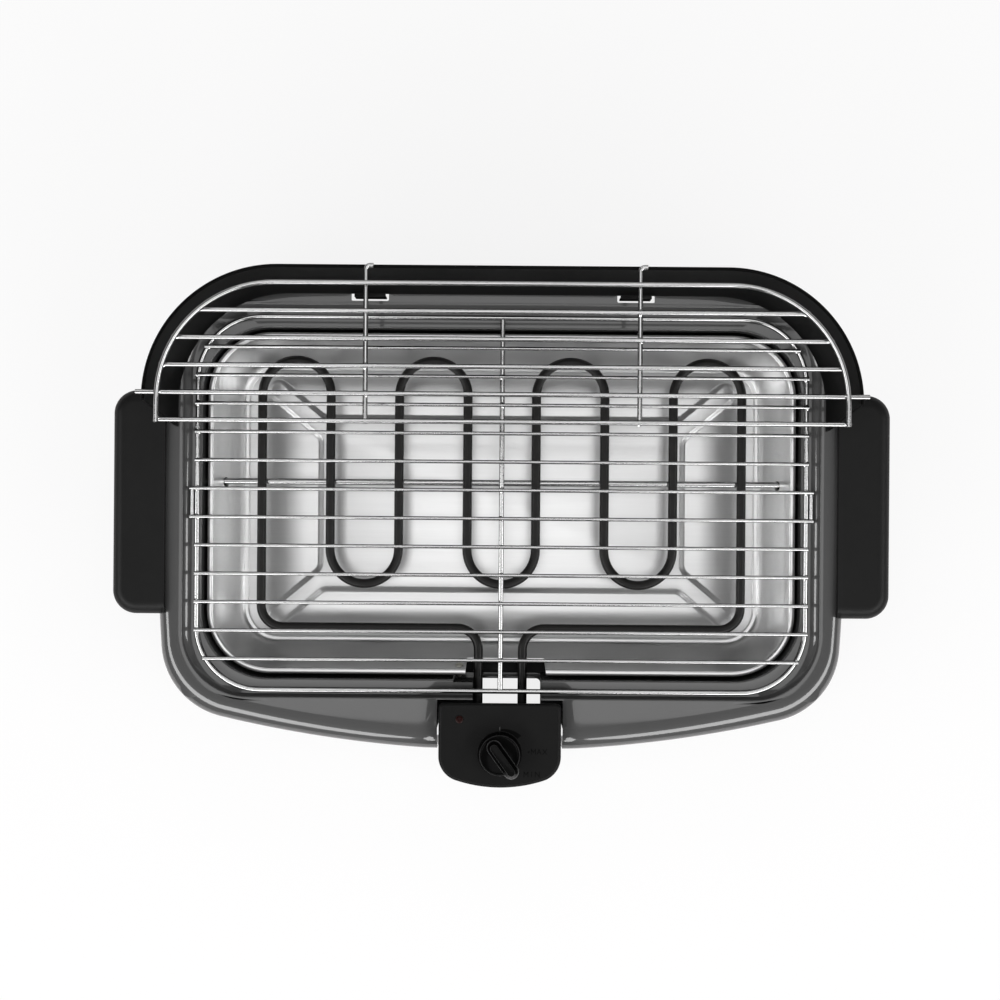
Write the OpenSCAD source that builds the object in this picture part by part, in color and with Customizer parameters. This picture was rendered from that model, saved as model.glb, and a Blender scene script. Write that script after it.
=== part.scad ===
// Electric table grill: moulded base with a heating element over a drip tray, a wire
// grate, a wind shield that stands on the rear of the base and a warming rack on it.
// Millimetres. +X is to the right, +Y to the rear, +Z up. The base stands on z = 0.

/* [Base] */
// Width of the deck at each side of the well
deck_side = 18; // [16:0.5:26]
// Width of the deck in front of the well, at the middle
deck_front = 34.65; // [32:0.05:44]
// Width of the deck behind the well, at the middle
deck_rear = 23.35; // [20:0.05:32]
// Height of the deck above the table
deck_z = 76; // [72:1:90]
// Wall of the base moulding
base_wall = 2.5; // [2:0.25:3.5]
// Rounding along the edge of the deck
deck_round = 10; // [6:0.5:11]
// Plan radius of the base corners
base_corner = 50; // [48:1:60]
// Bow radius of the front of the base
front_bow = 793; // [600:10:1200]
// Bow radius of the rear of the base
rear_bow = 1200; // [900:10:2000]
// Bow radius of the sides of the base
side_bow = 1400; // [1000:10:2400]
// Gap between the base and the table
base_lift = 6; // [4:0.5:9]
// Outward lean of the skirt at its foot
skirt_flare = 2; // [0:0.25:3]

/* [Well] */
// Gap between the grate's frame wire and the side of the well
well_gap_side = 8.5; // [6:0.5:12]
// The same gap at the front
well_gap_front = 4.15; // [3:0.05:8]
// The same gap at the rear
well_gap_rear = 6.95; // [4:0.05:10]
// Corner radius of the well
well_corner = 42; // [36:1:46]
// Height of the ledge at the foot of the well that carries the heat plate
ledge_z = 19; // [16:0.5:24]
// Reach of that ledge into the well
ledge_reach = 12; // [8:1:16]
// Thickness of the heat plate
plate_t = 0.8; // [0.6:0.1:1.5]
// Gap between the tray rim and the lower wall of the well
tray_room = 3; // [2.5:0.25:5]

/* [Feet and handles] */
// Diameter of a foot
foot_d = 18; // [14:1:22]
// Length of a handle, front to rear
handle_len = 143; // [120:1:160]
// Reach of each handle beyond the side of the base
handle_reach = 27; // [22:0.5:34]
// Wall of the handle moulding
handle_wall = 3; // [2.5:0.25:4]
// Height of the handle above the deck
handle_rise = 4; // [3:0.5:6]
// Depth of the handle's outer lip
handle_lip = 32; // [26:1:40]
// Plan radius of the handle's outer corners
handle_corner = 15; // [10:1:18]
// Rounding along the handle's top edge
handle_round = 8; // [6:0.5:10]

/* [Drip tray] */
// Gap between the tray rim and the side of the well
tray_gap_side = 14; // [12:0.5:20]
// How far the tray rim lies inside the grate's frame, front and rear
tray_inset = 9.95; // [8:0.05:14]
// Corner radius of the tray rim
tray_corner = 40; // [34:1:46]
// Height of the tray rim above the table
tray_rim_z = 60; // [56:0.5:64]
// Sheet thickness of the tray
tray_t = 1; // [0.8:0.1:1.4]
// How far the tray wall slopes in from rim to floor
tray_slope = 17; // [12:0.5:20]
// Diameter of the rolled rim
rim_d = 3; // [2.4:0.2:4]
// Distance of the pressed loop from the tray rim at the sides
loop_side = 69.5; // [60:0.5:80]
// The same distance at the front and rear
loop_end = 49.75; // [42:0.25:60]
// Corner radius of the pressed loop
loop_corner = 15; // [8:1:22]
// Radius of the pressed ribs
rib_r = 2.2; // [1.5:0.1:3]

/* [Heating element] */
// Diameter of the element tube
tube_d = 6; // [5:0.25:6.5]
// Height of the tube centre above the table
tube_z = 50; // [48:0.5:53]
// Distance of the outer runs from the tray rim
run_side = 32.8; // [28:0.1:38]
// Distance of the two legs from the centre
leg_x = 14.4; // [12:0.1:16]
// Distance of the rear bends' centres from the tray rim
rear_bend_end = 38.75; // [36:0.25:50]
// Distance of the long front run from the tray rim
front_run_end = 28.75; // [24:0.25:32]
// Distance of the front bends' centres from that run
front_bend_gap = 51; // [44:0.5:58]
// Bend radius at the outer front corners
corner_bend = 14; // [10:0.5:18]
// Diameter of the support rod below the tube
rod_d = 4; // [3:0.25:5]
// Place of the support rod, front to rear
rod_y = 14; // [0:1:30]

/* [Control box] */
// Width of the control box
box_w = 78; // [74:1:82]
// Set-back of the control box's rear face from the well
box_set = 2.15; // [1.5:0.05:4]
// Length of the control box, front to rear
box_len = 54; // [50:0.5:60]
// Top of the control box
box_top_z = 84; // [82:0.5:90]
// Underside of the control box
box_foot_z = 22; // [20:0.5:26]
// Height of the joint between its two halves
box_split_z = 58; // [54:0.5:62]
// Wall of the control box
box_wall = 2.2; // [1.8:0.1:2.4]
// Rounding along its top edge
box_round = 2.5; // [2.5:0.25:4]
// Fall of its rear face to the front, in degrees
box_fall = 6.75; // [4:0.25:9]
// Bow radius of its front
box_bow = 90; // [76:1:110]
// Plan radius of its front corners
box_corner = 16; // [12:1:18]
// Gap at each side of the control box in the base
box_gap = 1.3; // [0.8:0.1:2]

/* [Knob and lamp] */
// Diameter of the knob skirt
knob_d = 28.4; // [24:0.2:30]
// Height of the knob skirt
knob_skirt = 4; // [3:0.5:6]
// Height of the grip bar above the skirt
grip_h = 9; // [6:0.5:12]
// Width of the grip bar
grip_w = 9; // [6:0.2:10]
// Distance of the knob from the control box's rear face
knob_set = 32; // [30:0.5:34]
// Direction in which the grip bar points at rest
grip_angle = -49; // [-90:1:0]
// Diameter of the thermostat shaft
shaft_d = 6; // [5:0.5:8]
// Radial running clearance of the shaft
shaft_clear = 0.06; // [0.02:0.01:0.1]
// Diameter of the lamp lens
lamp_d = 4.8; // [4:0.2:6]

/* [Grate] */
// Width over the centre line of the frame wire
grate_w = 390; // [384:1:396]
// Depth over the centre line of the frame wire
grate_d = 239.4; // [234:0.2:243]
// Plan radius of the frame corners
grate_corner = 41; // [36:1:46]
// Height of the frame wire's centre
grate_z = 73; // [71:0.5:74]
// Diameter of the frame wire
frame_d = 3.2; // [2.6:0.1:4]
// Diameter of the cross wires
cross_d = 2.4; // [2:0.1:3]
// Number of cross wires
cross_n = 12; // [8:1:14]
// Distance of the first cross wire from the frame wire
cross_margin = 19.9; // [14:0.1:26]

/* [Wind shield] */
// Distance of the shield's foot from the side of the well
shield_side = 4.5; // [4:0.1:6]
// The same distance at the rear
shield_rear = 8.5; // [7.5:0.1:9.5]
// Plan radius of the shield's corners at the foot
shield_corner = 72; // [60:1:76]
// Sheet thickness
shield_t = 1.2; // [0.8:0.1:1.6]
// Outward lean at the top
shield_lean = 9; // [4:0.5:12]
// Height of the arms above the deck
shield_h = 67.3; // [60:0.1:72]
// Reach of the arms' feet in front of the shield's rear
arm_foot_reach = 87; // [80:1:94]
// Reach of the arms' tops in front of the shield's rear
arm_top_reach = 73; // [71:1:78]
// Width of each locating tab
tab_w = 20; // [14:1:26]
// Place of the tabs from the centre
tab_x = 85; // [75:1:95]
// Reach of each tab below the deck
tab_drop = 12; // [8:0.5:16]

/* [Warming rack] */
// Distance of the rack frame from the shield's foot at the sides
rack_side = 1; // [0:0.1:4]
// Distance of the rack frame from the shield's foot at the rear
rack_rear = 3; // [1.8:0.1:6]
// Plan radius of the rack's rear corners
rack_corner = 70; // [60:1:80]
// Diameter of the rack wires
rack_d = 3; // [2.4:0.1:3.6]
// Spacing of the rack's cross wires
rack_pitch = 16.5; // [14:0.1:18]
// Half the distance between the two hook wires
hook_x = 82.5; // [70:0.5:95]

/* [Hidden] */
$fn = 48;
// Gap left where one piece rests against another
seat = 0.3;
// Depth to which welded wires sink into each other
weld = 0.3;

// Well, deck and base round the grate, whose centre is the middle of all places
well_w = grate_w + 2 * well_gap_side;
well_front = -grate_d / 2 - well_gap_front;
well_rear = grate_d / 2 + well_gap_rear;
well_d = well_rear - well_front;
well_y = (well_rear + well_front) / 2;
base_w = well_w + 2 * deck_side;
base_front = deck_front - well_front;
base_rear = deck_rear + well_rear;
handles_w = base_w + 2 * handle_reach;

// How far a bow falls back at a distance from its middle
function bow_in(r, x) = r - sqrt(r * r - x * x);

// Control box
box_rear_y = well_front - box_set;
box_front_y = box_rear_y - box_len;
knob_y = box_rear_y - knob_set;

// The whole stands centred on the origin
mid_y = -(box_front_y + base_rear + skirt_flare) / 2;
module in_frame()
    translate([0, mid_y, 0])
        children();

// Base details
shelf_z = grate_z - frame_d / 2 - seat;
post_out = 29;
post_d = 14;
stem_d = 6;
stem_len = 8;
foot_edge = 1.5;
web_t = 2;
web_set = 1;
web_h = 40;
front_webs = [90, 145];
rear_webs = [40, 130];
notch_x = box_w / 2 + box_gap;
notch_rear = box_rear_y + 0.8;
notch_web_y = box_rear_y - 18;
apron_y = box_rear_y - 9;
window_left = -17.6;
window_right = 26.4;
window_front = box_rear_y - 5;
window_r = 3;
window_set = 1.6;
relief_left = -30.5;
slot_gap = 2;
slot_y = well_rear + base_wall + 0.45;
slot_d = 5;
screw_y = handle_len / 2 - 10;
screw_z = deck_z - 14;
screw_d = 4;
screw_len = 14;
head_h = 2.4;
boss_d = 9;
// Clearance round a screw and round a plain pin
screw_clear = 0.6;
pin_clear = 0.4;
// Small machine screws: their diameters, heads and nuts
m3_d = 3;
m3_hole = 3.4;
m3_head_d = 5.6;
m3_head_h = 2;
m3_nut_d = 5.4;
m3_nut_h = 2.4;
// Overlap of each handle onto the deck
handle_lap = 6.8;
handle_web = 2;

// Drip tray details
tray_w = well_w - 2 * tray_gap_side;
tray_d = grate_d - 2 * tray_inset;
loop_w = tray_w - 2 * loop_side;
loop_d = tray_d - 2 * loop_end;
low_w = tray_w + 2 * tray_room;
low_d = tray_d + 2 * tray_room;
low_corner = tray_corner + tray_room;
tray_z = ledge_z + plate_t;
notch_clear = 3;
tray_notch_z = tube_z - tube_d / 2 - notch_clear;
notch_left = -21.8;
notch_right = 28.8;
wall_a = atan(tray_slope / (tray_rim_z - tray_z));
wall_screw_x = -26.6;
wall_screw_z = 53;
floor_lap = 3;
rib_set = 4;
rib_end = 14;
rod_reach = 1.8;
rod_z = tube_z - (tube_d + rod_d) / 2 - seat;

// Heating element details: four runs each side, spaced evenly across the tray
run_n = 4;
run_out = tray_w / 2 - run_side;
run_pitch = 2 * run_out / (2 * run_n - 1);
rear_bend_y = tray_d / 2 - rear_bend_end;
front_run_y = -tray_d / 2 + front_run_end;
front_bend_y = front_run_y + front_bend_gap;
leg_in_box = 10;
leg_end_y = box_rear_y - leg_in_box;
blade_w = 6.3;
blade_t = 0.8;
blade_len = 7.5;

// Control box details
box_bow_c = [0, box_front_y + box_bow];
box_corner_c = [box_w / 2 - box_corner,
    box_bow_c[1] - sqrt(pow(box_bow - box_corner, 2) - pow(box_w / 2 - box_corner, 2))];
box_screw_len = 18;
box_screw_set = 7;
box_screw_x = box_w / 2 - box_screw_set;
box_screw_y = box_rear_y - 15;
box_leg_in = (box_top_z - tube_z) * tan(box_fall);
box_post_d = 7;
thermo_w = 32;
box_end_gap = 3;
thermo_front = 8;
thermo_d = 22;
thermo_top = box_split_z - 2;
thermo_neck_d = 11;
thermo_neck_h = 6;
shaft_depth = 6;
block_x = thermo_w / 2 + box_end_gap;
block_y = knob_y - 3.5;
block_w = 13;
block_d = 16;
block_h = 12;
block_hole_d = 4;
lamp_set = 13.3;
lamp_x = box_w / 2 - lamp_set;
lamp_y = box_rear_y - 10.6;
lamp_flange_d = 7;
lamp_flange_h = 1.5;
lamp_out = 0.5;
neon_d = 4;
neon_len = 18;
gland_x = 0;
gland_y = box_front_y + 8.5;
gland_d = 10;
gland_bore = 7;
gland_out = 7;
gland_in = 3;
gland_rim = 1.5;
knob_edge = 1.5;
knob_cap = 2;
grip_back = 6;
grip_tip = 19;

// Grate details
cross_pitch = (grate_d - 2 * cross_margin) / (cross_n - 1);
cross_z = grate_z + (frame_d + cross_d) / 2 - weld;
lug_out = 3.2;

// Wind shield and warming rack details
shield_w = well_w + 2 * shield_side;
shield_y = well_rear + shield_rear;
arm_foot_y = shield_y - arm_foot_reach;
arm_top_y = shield_y - arm_top_reach;
rack_w = shield_w - 2 * rack_side;
rack_y = shield_y - rack_rear;
tab_set = 2;
foot_edge_h = 4;
arm_over = 1.5;
rack_n = 5;
rack_layer = rack_d - weld;
rack_z = deck_z + shield_h + seat + rack_d / 2;
rack_front = rack_y - rack_n * rack_pitch;
arm_reach = shield_w / 2 + shield_lean + arm_over;
rear_h = shield_h - rack_layer;
hook_r = 2.4;
hook_end = 2;
hook_y = shield_y + shield_lean * rear_h / shield_h - shield_t / 2 - hook_r;

// Contour of the base: four bows joined by corner arcs that are tangent to both
front_c = [0, front_bow - base_front];
rear_c = [0, base_rear - rear_bow];
side_c = [base_w / 2 - side_bow, 0];

// Centre of a corner arc that is tangent inside two large circles
function tangent_centre(c1, r1, c2, r2, r, side) =
    let (a = r1 - r, b = r2 - r, v = c2 - c1, d = norm(v))
    let (t = (a * a - b * b + d * d) / (2 * d), h = sqrt(a * a - t * t))
    c1 + v * t / d + side * h / d * [-v[1], v[0]];
function heading(v) = atan2(v[1], v[0]);

front_corner = tangent_centre(front_c, front_bow, side_c, side_bow, base_corner, 1);
rear_corner = tangent_centre(rear_c, rear_bow, side_c, side_bow, base_corner, -1);
front_a = heading(front_corner - front_c);
rear_a = heading(rear_corner - rear_c);
side_lo = heading(front_corner - side_c);
side_hi = heading(rear_corner - side_c);

// ---- Shared shapes ----

// Turns a profile (x outward, y up) round a centre, from one direction to another
module rim_arc(centre, radius, from, to, fineness = 96)
    translate([centre[0], centre[1], 0])
        rotate(from)
            rotate_extrude(angle = to - from, $fn = fineness)
                translate([radius, 0])
                    children();

// Runs a profile along a straight stretch whose outward direction is given
module rim_line(end, outward, length)
    translate([end[0], end[1], 0])
        rotate([90, 0, outward])
            linear_extrude(length)
                children();

// Sweeps a profile round a rounded rectangle
module rim_rectangle(w, d, r) {
    for (k = [0 : 3]) {
        corner = [(k == 0 || k == 3 ? 1 : -1) * (w / 2 - r), (k < 2 ? 1 : -1) * (d / 2 - r)];
        rim_arc(corner, r, 90 * k, 90 * k + 90)
            children();
    }
    for (s = [0, 180])
        rotate(s) {
            rim_line([w / 2, d / 2 - r], 0, d - 2 * r)
                children();
            rim_line([-w / 2 + r, d / 2], 90, w - 2 * r)
                children();
        }
}

// A rounded rectangle from true arcs
module round_rectangle(w, d, r) {
    square([w - 2 * r, d], center = true);
    square([w, d - 2 * r], center = true);
    for (x = [-1, 1], y = [-1, 1])
        translate([x * (w / 2 - r), y * (d / 2 - r)])
            circle(r, $fn = 96);
}

// Section of a moulding: a top plate, a rounded shoulder and a skirt
module shoulder(depth, top, foot, r, flare, fineness = 48) {
    polygon([[-depth, foot], [flare, foot], [0, top - r], [-r, top - r], [-r, top], [-depth, top]]);
    translate([-r, top - r])
        intersection() {
            circle(r, $fn = fineness);
            square(r);
        }
}

module shoulder_shell(depth, top, foot, r, flare, wall)
    difference() {
        shoulder(depth, top, foot, r, flare);
        translate([-wall, -wall])
            shoulder(depth, top, foot - wall, r - wall, flare);
    }

// A round bar that follows steps of [length] and [radius, turn], left turns positive
module bar(steps, d, i = 0)
    if (i < len(steps)) {
        step = steps[i];
        if (len(step) == 1) {
            rotate([0, 90, 0])
                cylinder(d = d, h = step[0]);
            // A fine bead joins a straight to a turn that isn't square
            if (i > 0 && len(steps[i - 1]) > 1 && steps[i - 1][1] % 90 != 0)
                sphere(d = d * 1.05);
            translate([step[0], 0, 0])
                bar(steps, d, i + 1);
        } else {
            r = step[0];
            a = abs(step[1]);
            left = sign(step[1]);
            translate([0, left * r, 0])
                rotate(left > 0 ? -90 : 90 - a)
                    rotate_extrude(angle = a)
                        translate([r, 0])
                            circle(d = d, $fn = 24);
            translate([r * sin(a), left * r * (1 - cos(a)), 0])
                rotate(left * a)
                    bar(steps, d, i + 1);
        }
    }

module wire_x(length, d, y, z)
    translate([-length / 2, y, z])
        rotate([0, 90, 0])
            cylinder(d = d, h = length, $fn = 24);

module wire_y(from, to, d, x, z)
    translate([x, to, z])
        rotate([90, 0, 0])
            cylinder(d = d, h = to - from, $fn = 24);

module both_sides() {
    children();
    mirror([1, 0, 0])
        children();
}

// ---- Base ----

// Filled form of the base: its shoulder runs round four bows and four corner arcs
module base_solid(inset, foot, top, r)
    hull() {
        rim_arc(front_c, front_bow - inset, -180 - front_a, front_a, 120)
            shoulder(2 * r, top, foot, r, skirt_flare, 24);
        rim_arc(rear_c, rear_bow - inset, rear_a, 180 - rear_a, 160)
            shoulder(2 * r, top, foot, r, skirt_flare, 24);
        both_sides() {
            rim_arc(side_c, side_bow - inset, side_lo, side_hi, 200)
                shoulder(2 * r, top, foot, r, skirt_flare, 24);
            rim_arc(front_corner, base_corner - inset, front_a, side_lo, 60)
                shoulder(2 * r, top, foot, r, skirt_flare, 24);
            rim_arc(rear_corner, base_corner - inset, side_hi, rear_a, 60)
                shoulder(2 * r, top, foot, r, skirt_flare, 24);
        }
    }

// An upright web between the front of the base and the well, shaped to the shoulder
module front_web(x, t, foot) {
    fall = bow_in(front_bow, abs(x) + t) + web_set;
    translate([x + t, fall - base_front, 0])
        rotate([90, 0, -90])
            linear_extrude(t)
                shoulder(base_front - fall - low_d / 2 - base_wall / 2, deck_z - web_set, foot,
                    deck_round, 0);
}

// The same between the rear of the base and the well
module rear_web(x, t, foot) {
    fall = bow_in(rear_bow, abs(x) + t) + web_set;
    translate([x, base_rear - fall, 0])
        rotate([90, 0, 90])
            linear_extrude(t)
                shoulder(base_rear - fall - low_d / 2 - base_wall / 2, deck_z - web_set, foot,
                    deck_round, 0);
}

// The upper part of the well, round the grate
module well_prism(grow, from, to)
    translate([0, well_y, from])
        linear_extrude(to - from)
            round_rectangle(well_w + 2 * grow, well_d + 2 * grow, well_corner + grow);

// Its lower part, round the tray
module low_prism(grow, from, to)
    translate([0, 0, from])
        linear_extrude(to - from)
            round_rectangle(low_w + 2 * grow, low_d + 2 * grow, low_corner + grow);

module foot_places()
    for (c = [front_corner, rear_corner], x = [-1, 1])
        translate([x * (c[0] + post_out), c[1] + sign(c[1]) * post_out, 0])
            children();

module handle_screw_axis()
    for (y = [-1, 1])
        translate([base_w / 2 - bow_in(side_bow, screw_y), y * screw_y, screw_z])
            rotate([0, 90, 0])
                children();

// Open space for the control box in the front of the base
module box_notch()
    translate([-notch_x, -2 * base_front, box_foot_z])
        cube([2 * notch_x, 2 * base_front + notch_rear, deck_z]);

// A wall on each side of that space, and an apron between them under the box's rear
module notch_webs() {
    for (x = [-notch_x - base_wall, notch_x])
        translate([x, notch_web_y, ledge_z - base_wall])
            cube([base_wall, well_front - notch_web_y, deck_z - ledge_z + base_wall / 2]);
    translate([-notch_x - base_wall, apron_y, ledge_z - base_wall])
        cube([2 * (notch_x + base_wall), -low_d / 2 - apron_y, base_wall]);
}

// Opening in the apron
module apron_window() {
    window_rear = -low_d / 2 - base_wall - window_set;
    translate([(window_left + window_right) / 2, (window_front + window_rear) / 2, 0])
        linear_extrude(tray_notch_z)
            round_rectangle(window_right - window_left, window_rear - window_front, window_r);
}

// Way for the element's legs above it, with room for the tail of the tray's screw
module leg_way() {
    translate([window_left, window_front, tray_notch_z])
        cube([window_right - window_left, -low_d / 2 - base_wall - window_front, deck_z]);
    translate([relief_left, -low_d / 2 - 2 * base_wall, tray_notch_z])
        cube([window_right - relief_left, 3 * base_wall, deck_z]);
}

module base_shell() color("dimgray") in_frame() {
    difference() {
        union() {
            difference() {
                base_solid(0, base_lift, deck_z, deck_round);
                base_solid(base_wall, base_lift - 1, deck_z - base_wall,
                    deck_round - base_wall);
            }
            well_prism(base_wall, shelf_z - base_wall, deck_z - base_wall / 2);
            low_prism(base_wall, ledge_z - base_wall, shelf_z - base_wall / 2);
            notch_webs();
            for (x = [-1, 1]) {
                for (wx = front_webs)
                    front_web(x * wx, web_t, deck_z - web_h);
                for (wx = rear_webs)
                    rear_web(x * wx, web_t, deck_z - web_h);
            }
            foot_places()
                translate([0, 0, base_lift])
                    cylinder(d = post_d, h = deck_z - base_lift - base_wall / 2);
        }
        well_prism(0, shelf_z, deck_z + 1);
        low_prism(0, ledge_z, deck_z);
        low_prism(-ledge_reach, 0, deck_z);
        box_notch();
        apron_window();
        leg_way();
        for (x = [-1, 1])
            translate([x * tab_x - tab_w / 2 - slot_gap, slot_y, deck_z - deck_round])
                cube([tab_w + 2 * slot_gap, slot_d, 2 * deck_round]);
        both_sides()
            handle_screw_axis()
                translate([0, 0, -screw_len])
                    cylinder(d = screw_d + screw_clear, h = 2 * screw_len);
        foot_places()
            cylinder(d = stem_d + pin_clear, h = base_lift + stem_len + 2);
    }
}

module heat_plate() color("black") in_frame()
    low_prism(-1, ledge_z, ledge_z + plate_t);

module feet() color("black") in_frame()
    foot_places() {
        rotate_extrude()
            difference() {
                union() {
                    square([foot_d / 2 - foot_edge, base_lift]);
                    translate([0, foot_edge])
                        square([foot_d / 2, base_lift - foot_edge]);
                    translate([foot_d / 2 - foot_edge, foot_edge])
                        circle(foot_edge);
                }
                translate([-1, -1])
                    square([foot_d / 4 + 1, 2]);
            }
        cylinder(d = stem_d, h = base_lift + stem_len);
    }

// Handle on the right side: a downward-open grip over the edge of the base
module handle() {
    outer_x = handles_w / 2;
    inner_x = base_w / 2 - handle_lap;
    corner_x = outer_x - handle_corner;
    straight = handle_len - 2 * handle_corner;
    top = deck_z + handle_rise;
    difference() {
        union() {
            handle_rim(outer_x, inner_x, corner_x, straight)
                shoulder_shell(handle_corner, top, top - handle_lip, handle_round, 0,
                    handle_wall);
            translate([inner_x, -straight / 2, top - handle_wall])
                cube([corner_x - inner_x, straight, handle_wall]);
            translate([inner_x, -handle_len / 2 + 1, deck_z])
                cube([handle_web, handle_len - 2, handle_rise - 1]);
            handle_screw_axis()
                cylinder(d = boss_d, h = outer_x - base_w / 2 + bow_in(side_bow, screw_y) - 1);
        }
        rim_arc(side_c, side_bow, side_lo, side_hi)
            translate([seat, 0])
                shoulder(60, deck_z, 0, deck_round, skirt_flare);
        handle_screw_axis()
            cylinder(d = screw_d + pin_clear, h = screw_len + 1);
    }
}

module handle_rim(outer_x, inner_x, corner_x, straight) {
    rim_line([outer_x, straight / 2], 0, straight)
        children();
    rim_line([inner_x, handle_len / 2], 90, corner_x - inner_x)
        children();
    rim_line([corner_x, -handle_len / 2], -90, corner_x - inner_x)
        children();
    for (s = [-1, 1])
        rim_arc([corner_x, s * straight / 2], handle_corner, s > 0 ? 0 : -90, s > 0 ? 90 : 0)
            children();
}

module right_handle() color("black") in_frame()
    handle();

module left_handle() color("black") in_frame()
    mirror([1, 0, 0])
        handle();

module handle_screws() color("silver") in_frame()
    both_sides()
        handle_screw_axis() {
            translate([0, 0, -base_wall - seat])
                cylinder(d = screw_d, h = screw_len + base_wall + seat);
            translate([0, 0, -base_wall - seat - head_h])
                cylinder(d = 2 * screw_d, h = head_h);
        }

// ---- Drip tray ----

module tray_section() {
    polygon([[-tray_slope - floor_lap, tray_z], [-tray_slope, tray_z], [0, tray_rim_z],
        [-tray_t * 1.1, tray_rim_z], [-tray_slope - tray_t / 2, tray_z + tray_t],
        [-tray_slope - floor_lap, tray_z + tray_t]]);
    translate([-tray_t / 2, tray_rim_z])
        circle(d = rim_d, $fn = 24);
}

// A half-round rib pressed up from the tray floor
module rib_section()
    intersection() {
        translate([0, tray_z + tray_t - 0.6])
            circle(rib_r, $fn = 24);
        translate([-rib_r, tray_z + tray_t / 2])
            square(2 * rib_r);
    }

module diagonal_rib(x, y) {
    from = [x * (loop_w / 2 - rib_set), y * (loop_d / 2 - rib_set)];
    to = [x * (tray_w / 2 - tray_slope - rib_end), y * (tray_d / 2 - tray_slope - rib_end)];
    rim_line(to, heading(to - from) - 90, norm(to - from))
        rib_section();
}

// Axis of the screw through the sloping front wall, pointing out from its outer face
module wall_screw_axis()
    translate([wall_screw_x, -tray_d / 2 + (tray_rim_z - wall_screw_z) * tan(wall_a), wall_screw_z])
        rotate([90 + wall_a, 0, 0])
            children();

module drip_tray() color("silver") in_frame()
    difference() {
        union() {
            difference() {
                rim_rectangle(tray_w, tray_d, tray_corner)
                    tray_section();
                translate([notch_left, -tray_d / 2 - rim_d, tray_notch_z])
                    cube([notch_right - notch_left, tray_slope + rim_d, tray_rim_z]);
            }
            translate([0, 0, tray_z])
                linear_extrude(tray_t)
                    round_rectangle(tray_w - 2 * tray_slope - 2 * floor_lap + 1,
                        tray_d - 2 * tray_slope - 2 * floor_lap + 1,
                        tray_corner - tray_slope - floor_lap + 0.5);
            rim_rectangle(loop_w, loop_d, loop_corner)
                rib_section();
            for (x = [-1, 1], y = [-1, 1])
                diagonal_rib(x, y);
        }
        wire_x(2 * tray_w, rod_d + pin_clear, rod_y, rod_z);
        wall_screw_axis()
            cylinder(d = m3_hole, h = 4 * tray_t, center = true);
    }

module tray_screw() color("silver") in_frame()
    wall_screw_axis() {
        translate([0, 0, -tray_t - m3_head_h - seat / 2])
            cylinder(d = m3_head_d, h = m3_head_h);
        translate([0, 0, -tray_t - m3_head_h])
            cylinder(d = m3_d, h = m3_head_h + 2 * tray_t + 2 * m3_nut_h + seat);
        translate([0, 0, seat / 2])
            difference() {
                cylinder(d = m3_nut_d, h = m3_nut_h, $fn = 6);
                translate([0, 0, -1])
                    cylinder(d = m3_d + 0.1, h = 2 * m3_nut_h);
            }
    }

module support_rod() color("silver") in_frame()
    wire_x(tray_w + 2 * rod_reach, rod_d, rod_y, rod_z);

// ---- Heating element ----

half_run = concat(
    [
        [front_run_y - corner_bend - leg_end_y],
        [corner_bend, 90],
        [run_out - corner_bend - leg_x - corner_bend],
        [corner_bend, -90],
        [rear_bend_y - front_run_y - corner_bend]
    ],
    [for (i = [1 : run_n - 1]) each [
        [run_pitch / 2, i % 2 == 1 ? -180 : 180],
        [rear_bend_y - front_bend_y]
    ]]
);
half_back = [for (i = [len(half_run) - 1 : -1 : 0]) half_run[i]];

module heating_element() color("dimgray") in_frame()
    translate([-leg_x, leg_end_y, tube_z])
        rotate(90)
            bar(concat(half_run, [[run_pitch / 2, 180]], half_back), tube_d);

module leg_axis()
    for (x = [-1, 1])
        translate([x * leg_x, 0, tube_z])
            rotate([90, 0, 0])
                children();

module element_terminals() color("gainsboro") in_frame()
    for (x = [-1, 1])
        translate([x * leg_x - blade_w / 2, leg_end_y - blade_len, tube_z - blade_t / 2])
            cube([blade_w, blade_len, blade_t]);

// ---- Control box ----

// Space behind the control box, whose rear face falls away to the front
module behind_box(inset)
    translate([-box_w, box_rear_y - inset, box_top_z])
        rotate([-box_fall, 0, 0])
            translate([0, 0, -2 * box_top_z])
                cube([2 * box_w, box_len, 3 * box_top_z]);

// Solid of the control box's outer form, or of its inside when inset
module box_solid(inset, foot, top, r) {
    corner_r = box_corner - inset;
    turn = heading(box_corner_c - box_bow_c);
    difference() {
        hull() {
            rim_arc(box_bow_c, box_bow - inset, -180 - turn, turn, 60)
                shoulder(2 * r, top, foot, r, 0, 24);
            both_sides() {
                rim_arc(box_corner_c, corner_r, turn, 0, 60)
                    shoulder(2 * r, top, foot, r, 0, 24);
                rim_line([box_w / 2 - inset, box_rear_y + box_wall], 0, 1)
                    shoulder(2 * r, top, foot, r, 0, 24);
            }
        }
        behind_box(inset);
    }
}

module box_screw_places()
    both_sides()
        for (p = [[box_screw_x, box_screw_y],
            [box_corner_c[0] + 3, box_corner_c[1] - box_screw_set]])
            translate([p[0], p[1], 0])
                children();

module control_cover() color("black") in_frame()
    difference() {
        union() {
            difference() {
                box_solid(0, box_split_z, box_top_z, box_round);
                box_solid(box_wall, box_split_z - 1, box_top_z - box_wall, box_round - box_wall);
            }
            box_screw_places()
                translate([0, 0, box_foot_z + box_wall + seat])
                    cylinder(d = box_post_d, h = box_top_z - box_foot_z - 1.5 * box_wall - seat);
        }
        translate([0, knob_y, box_split_z])
            cylinder(r = shaft_d / 2 + shaft_clear, h = box_top_z);
        translate([-lamp_x, lamp_y, box_split_z])
            cylinder(d = lamp_d + pin_clear / 2, h = box_top_z);
        box_screw_places()
            translate([0, 0, box_foot_z])
                cylinder(d = m3_hole, h = box_screw_len + 1);
    }

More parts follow.
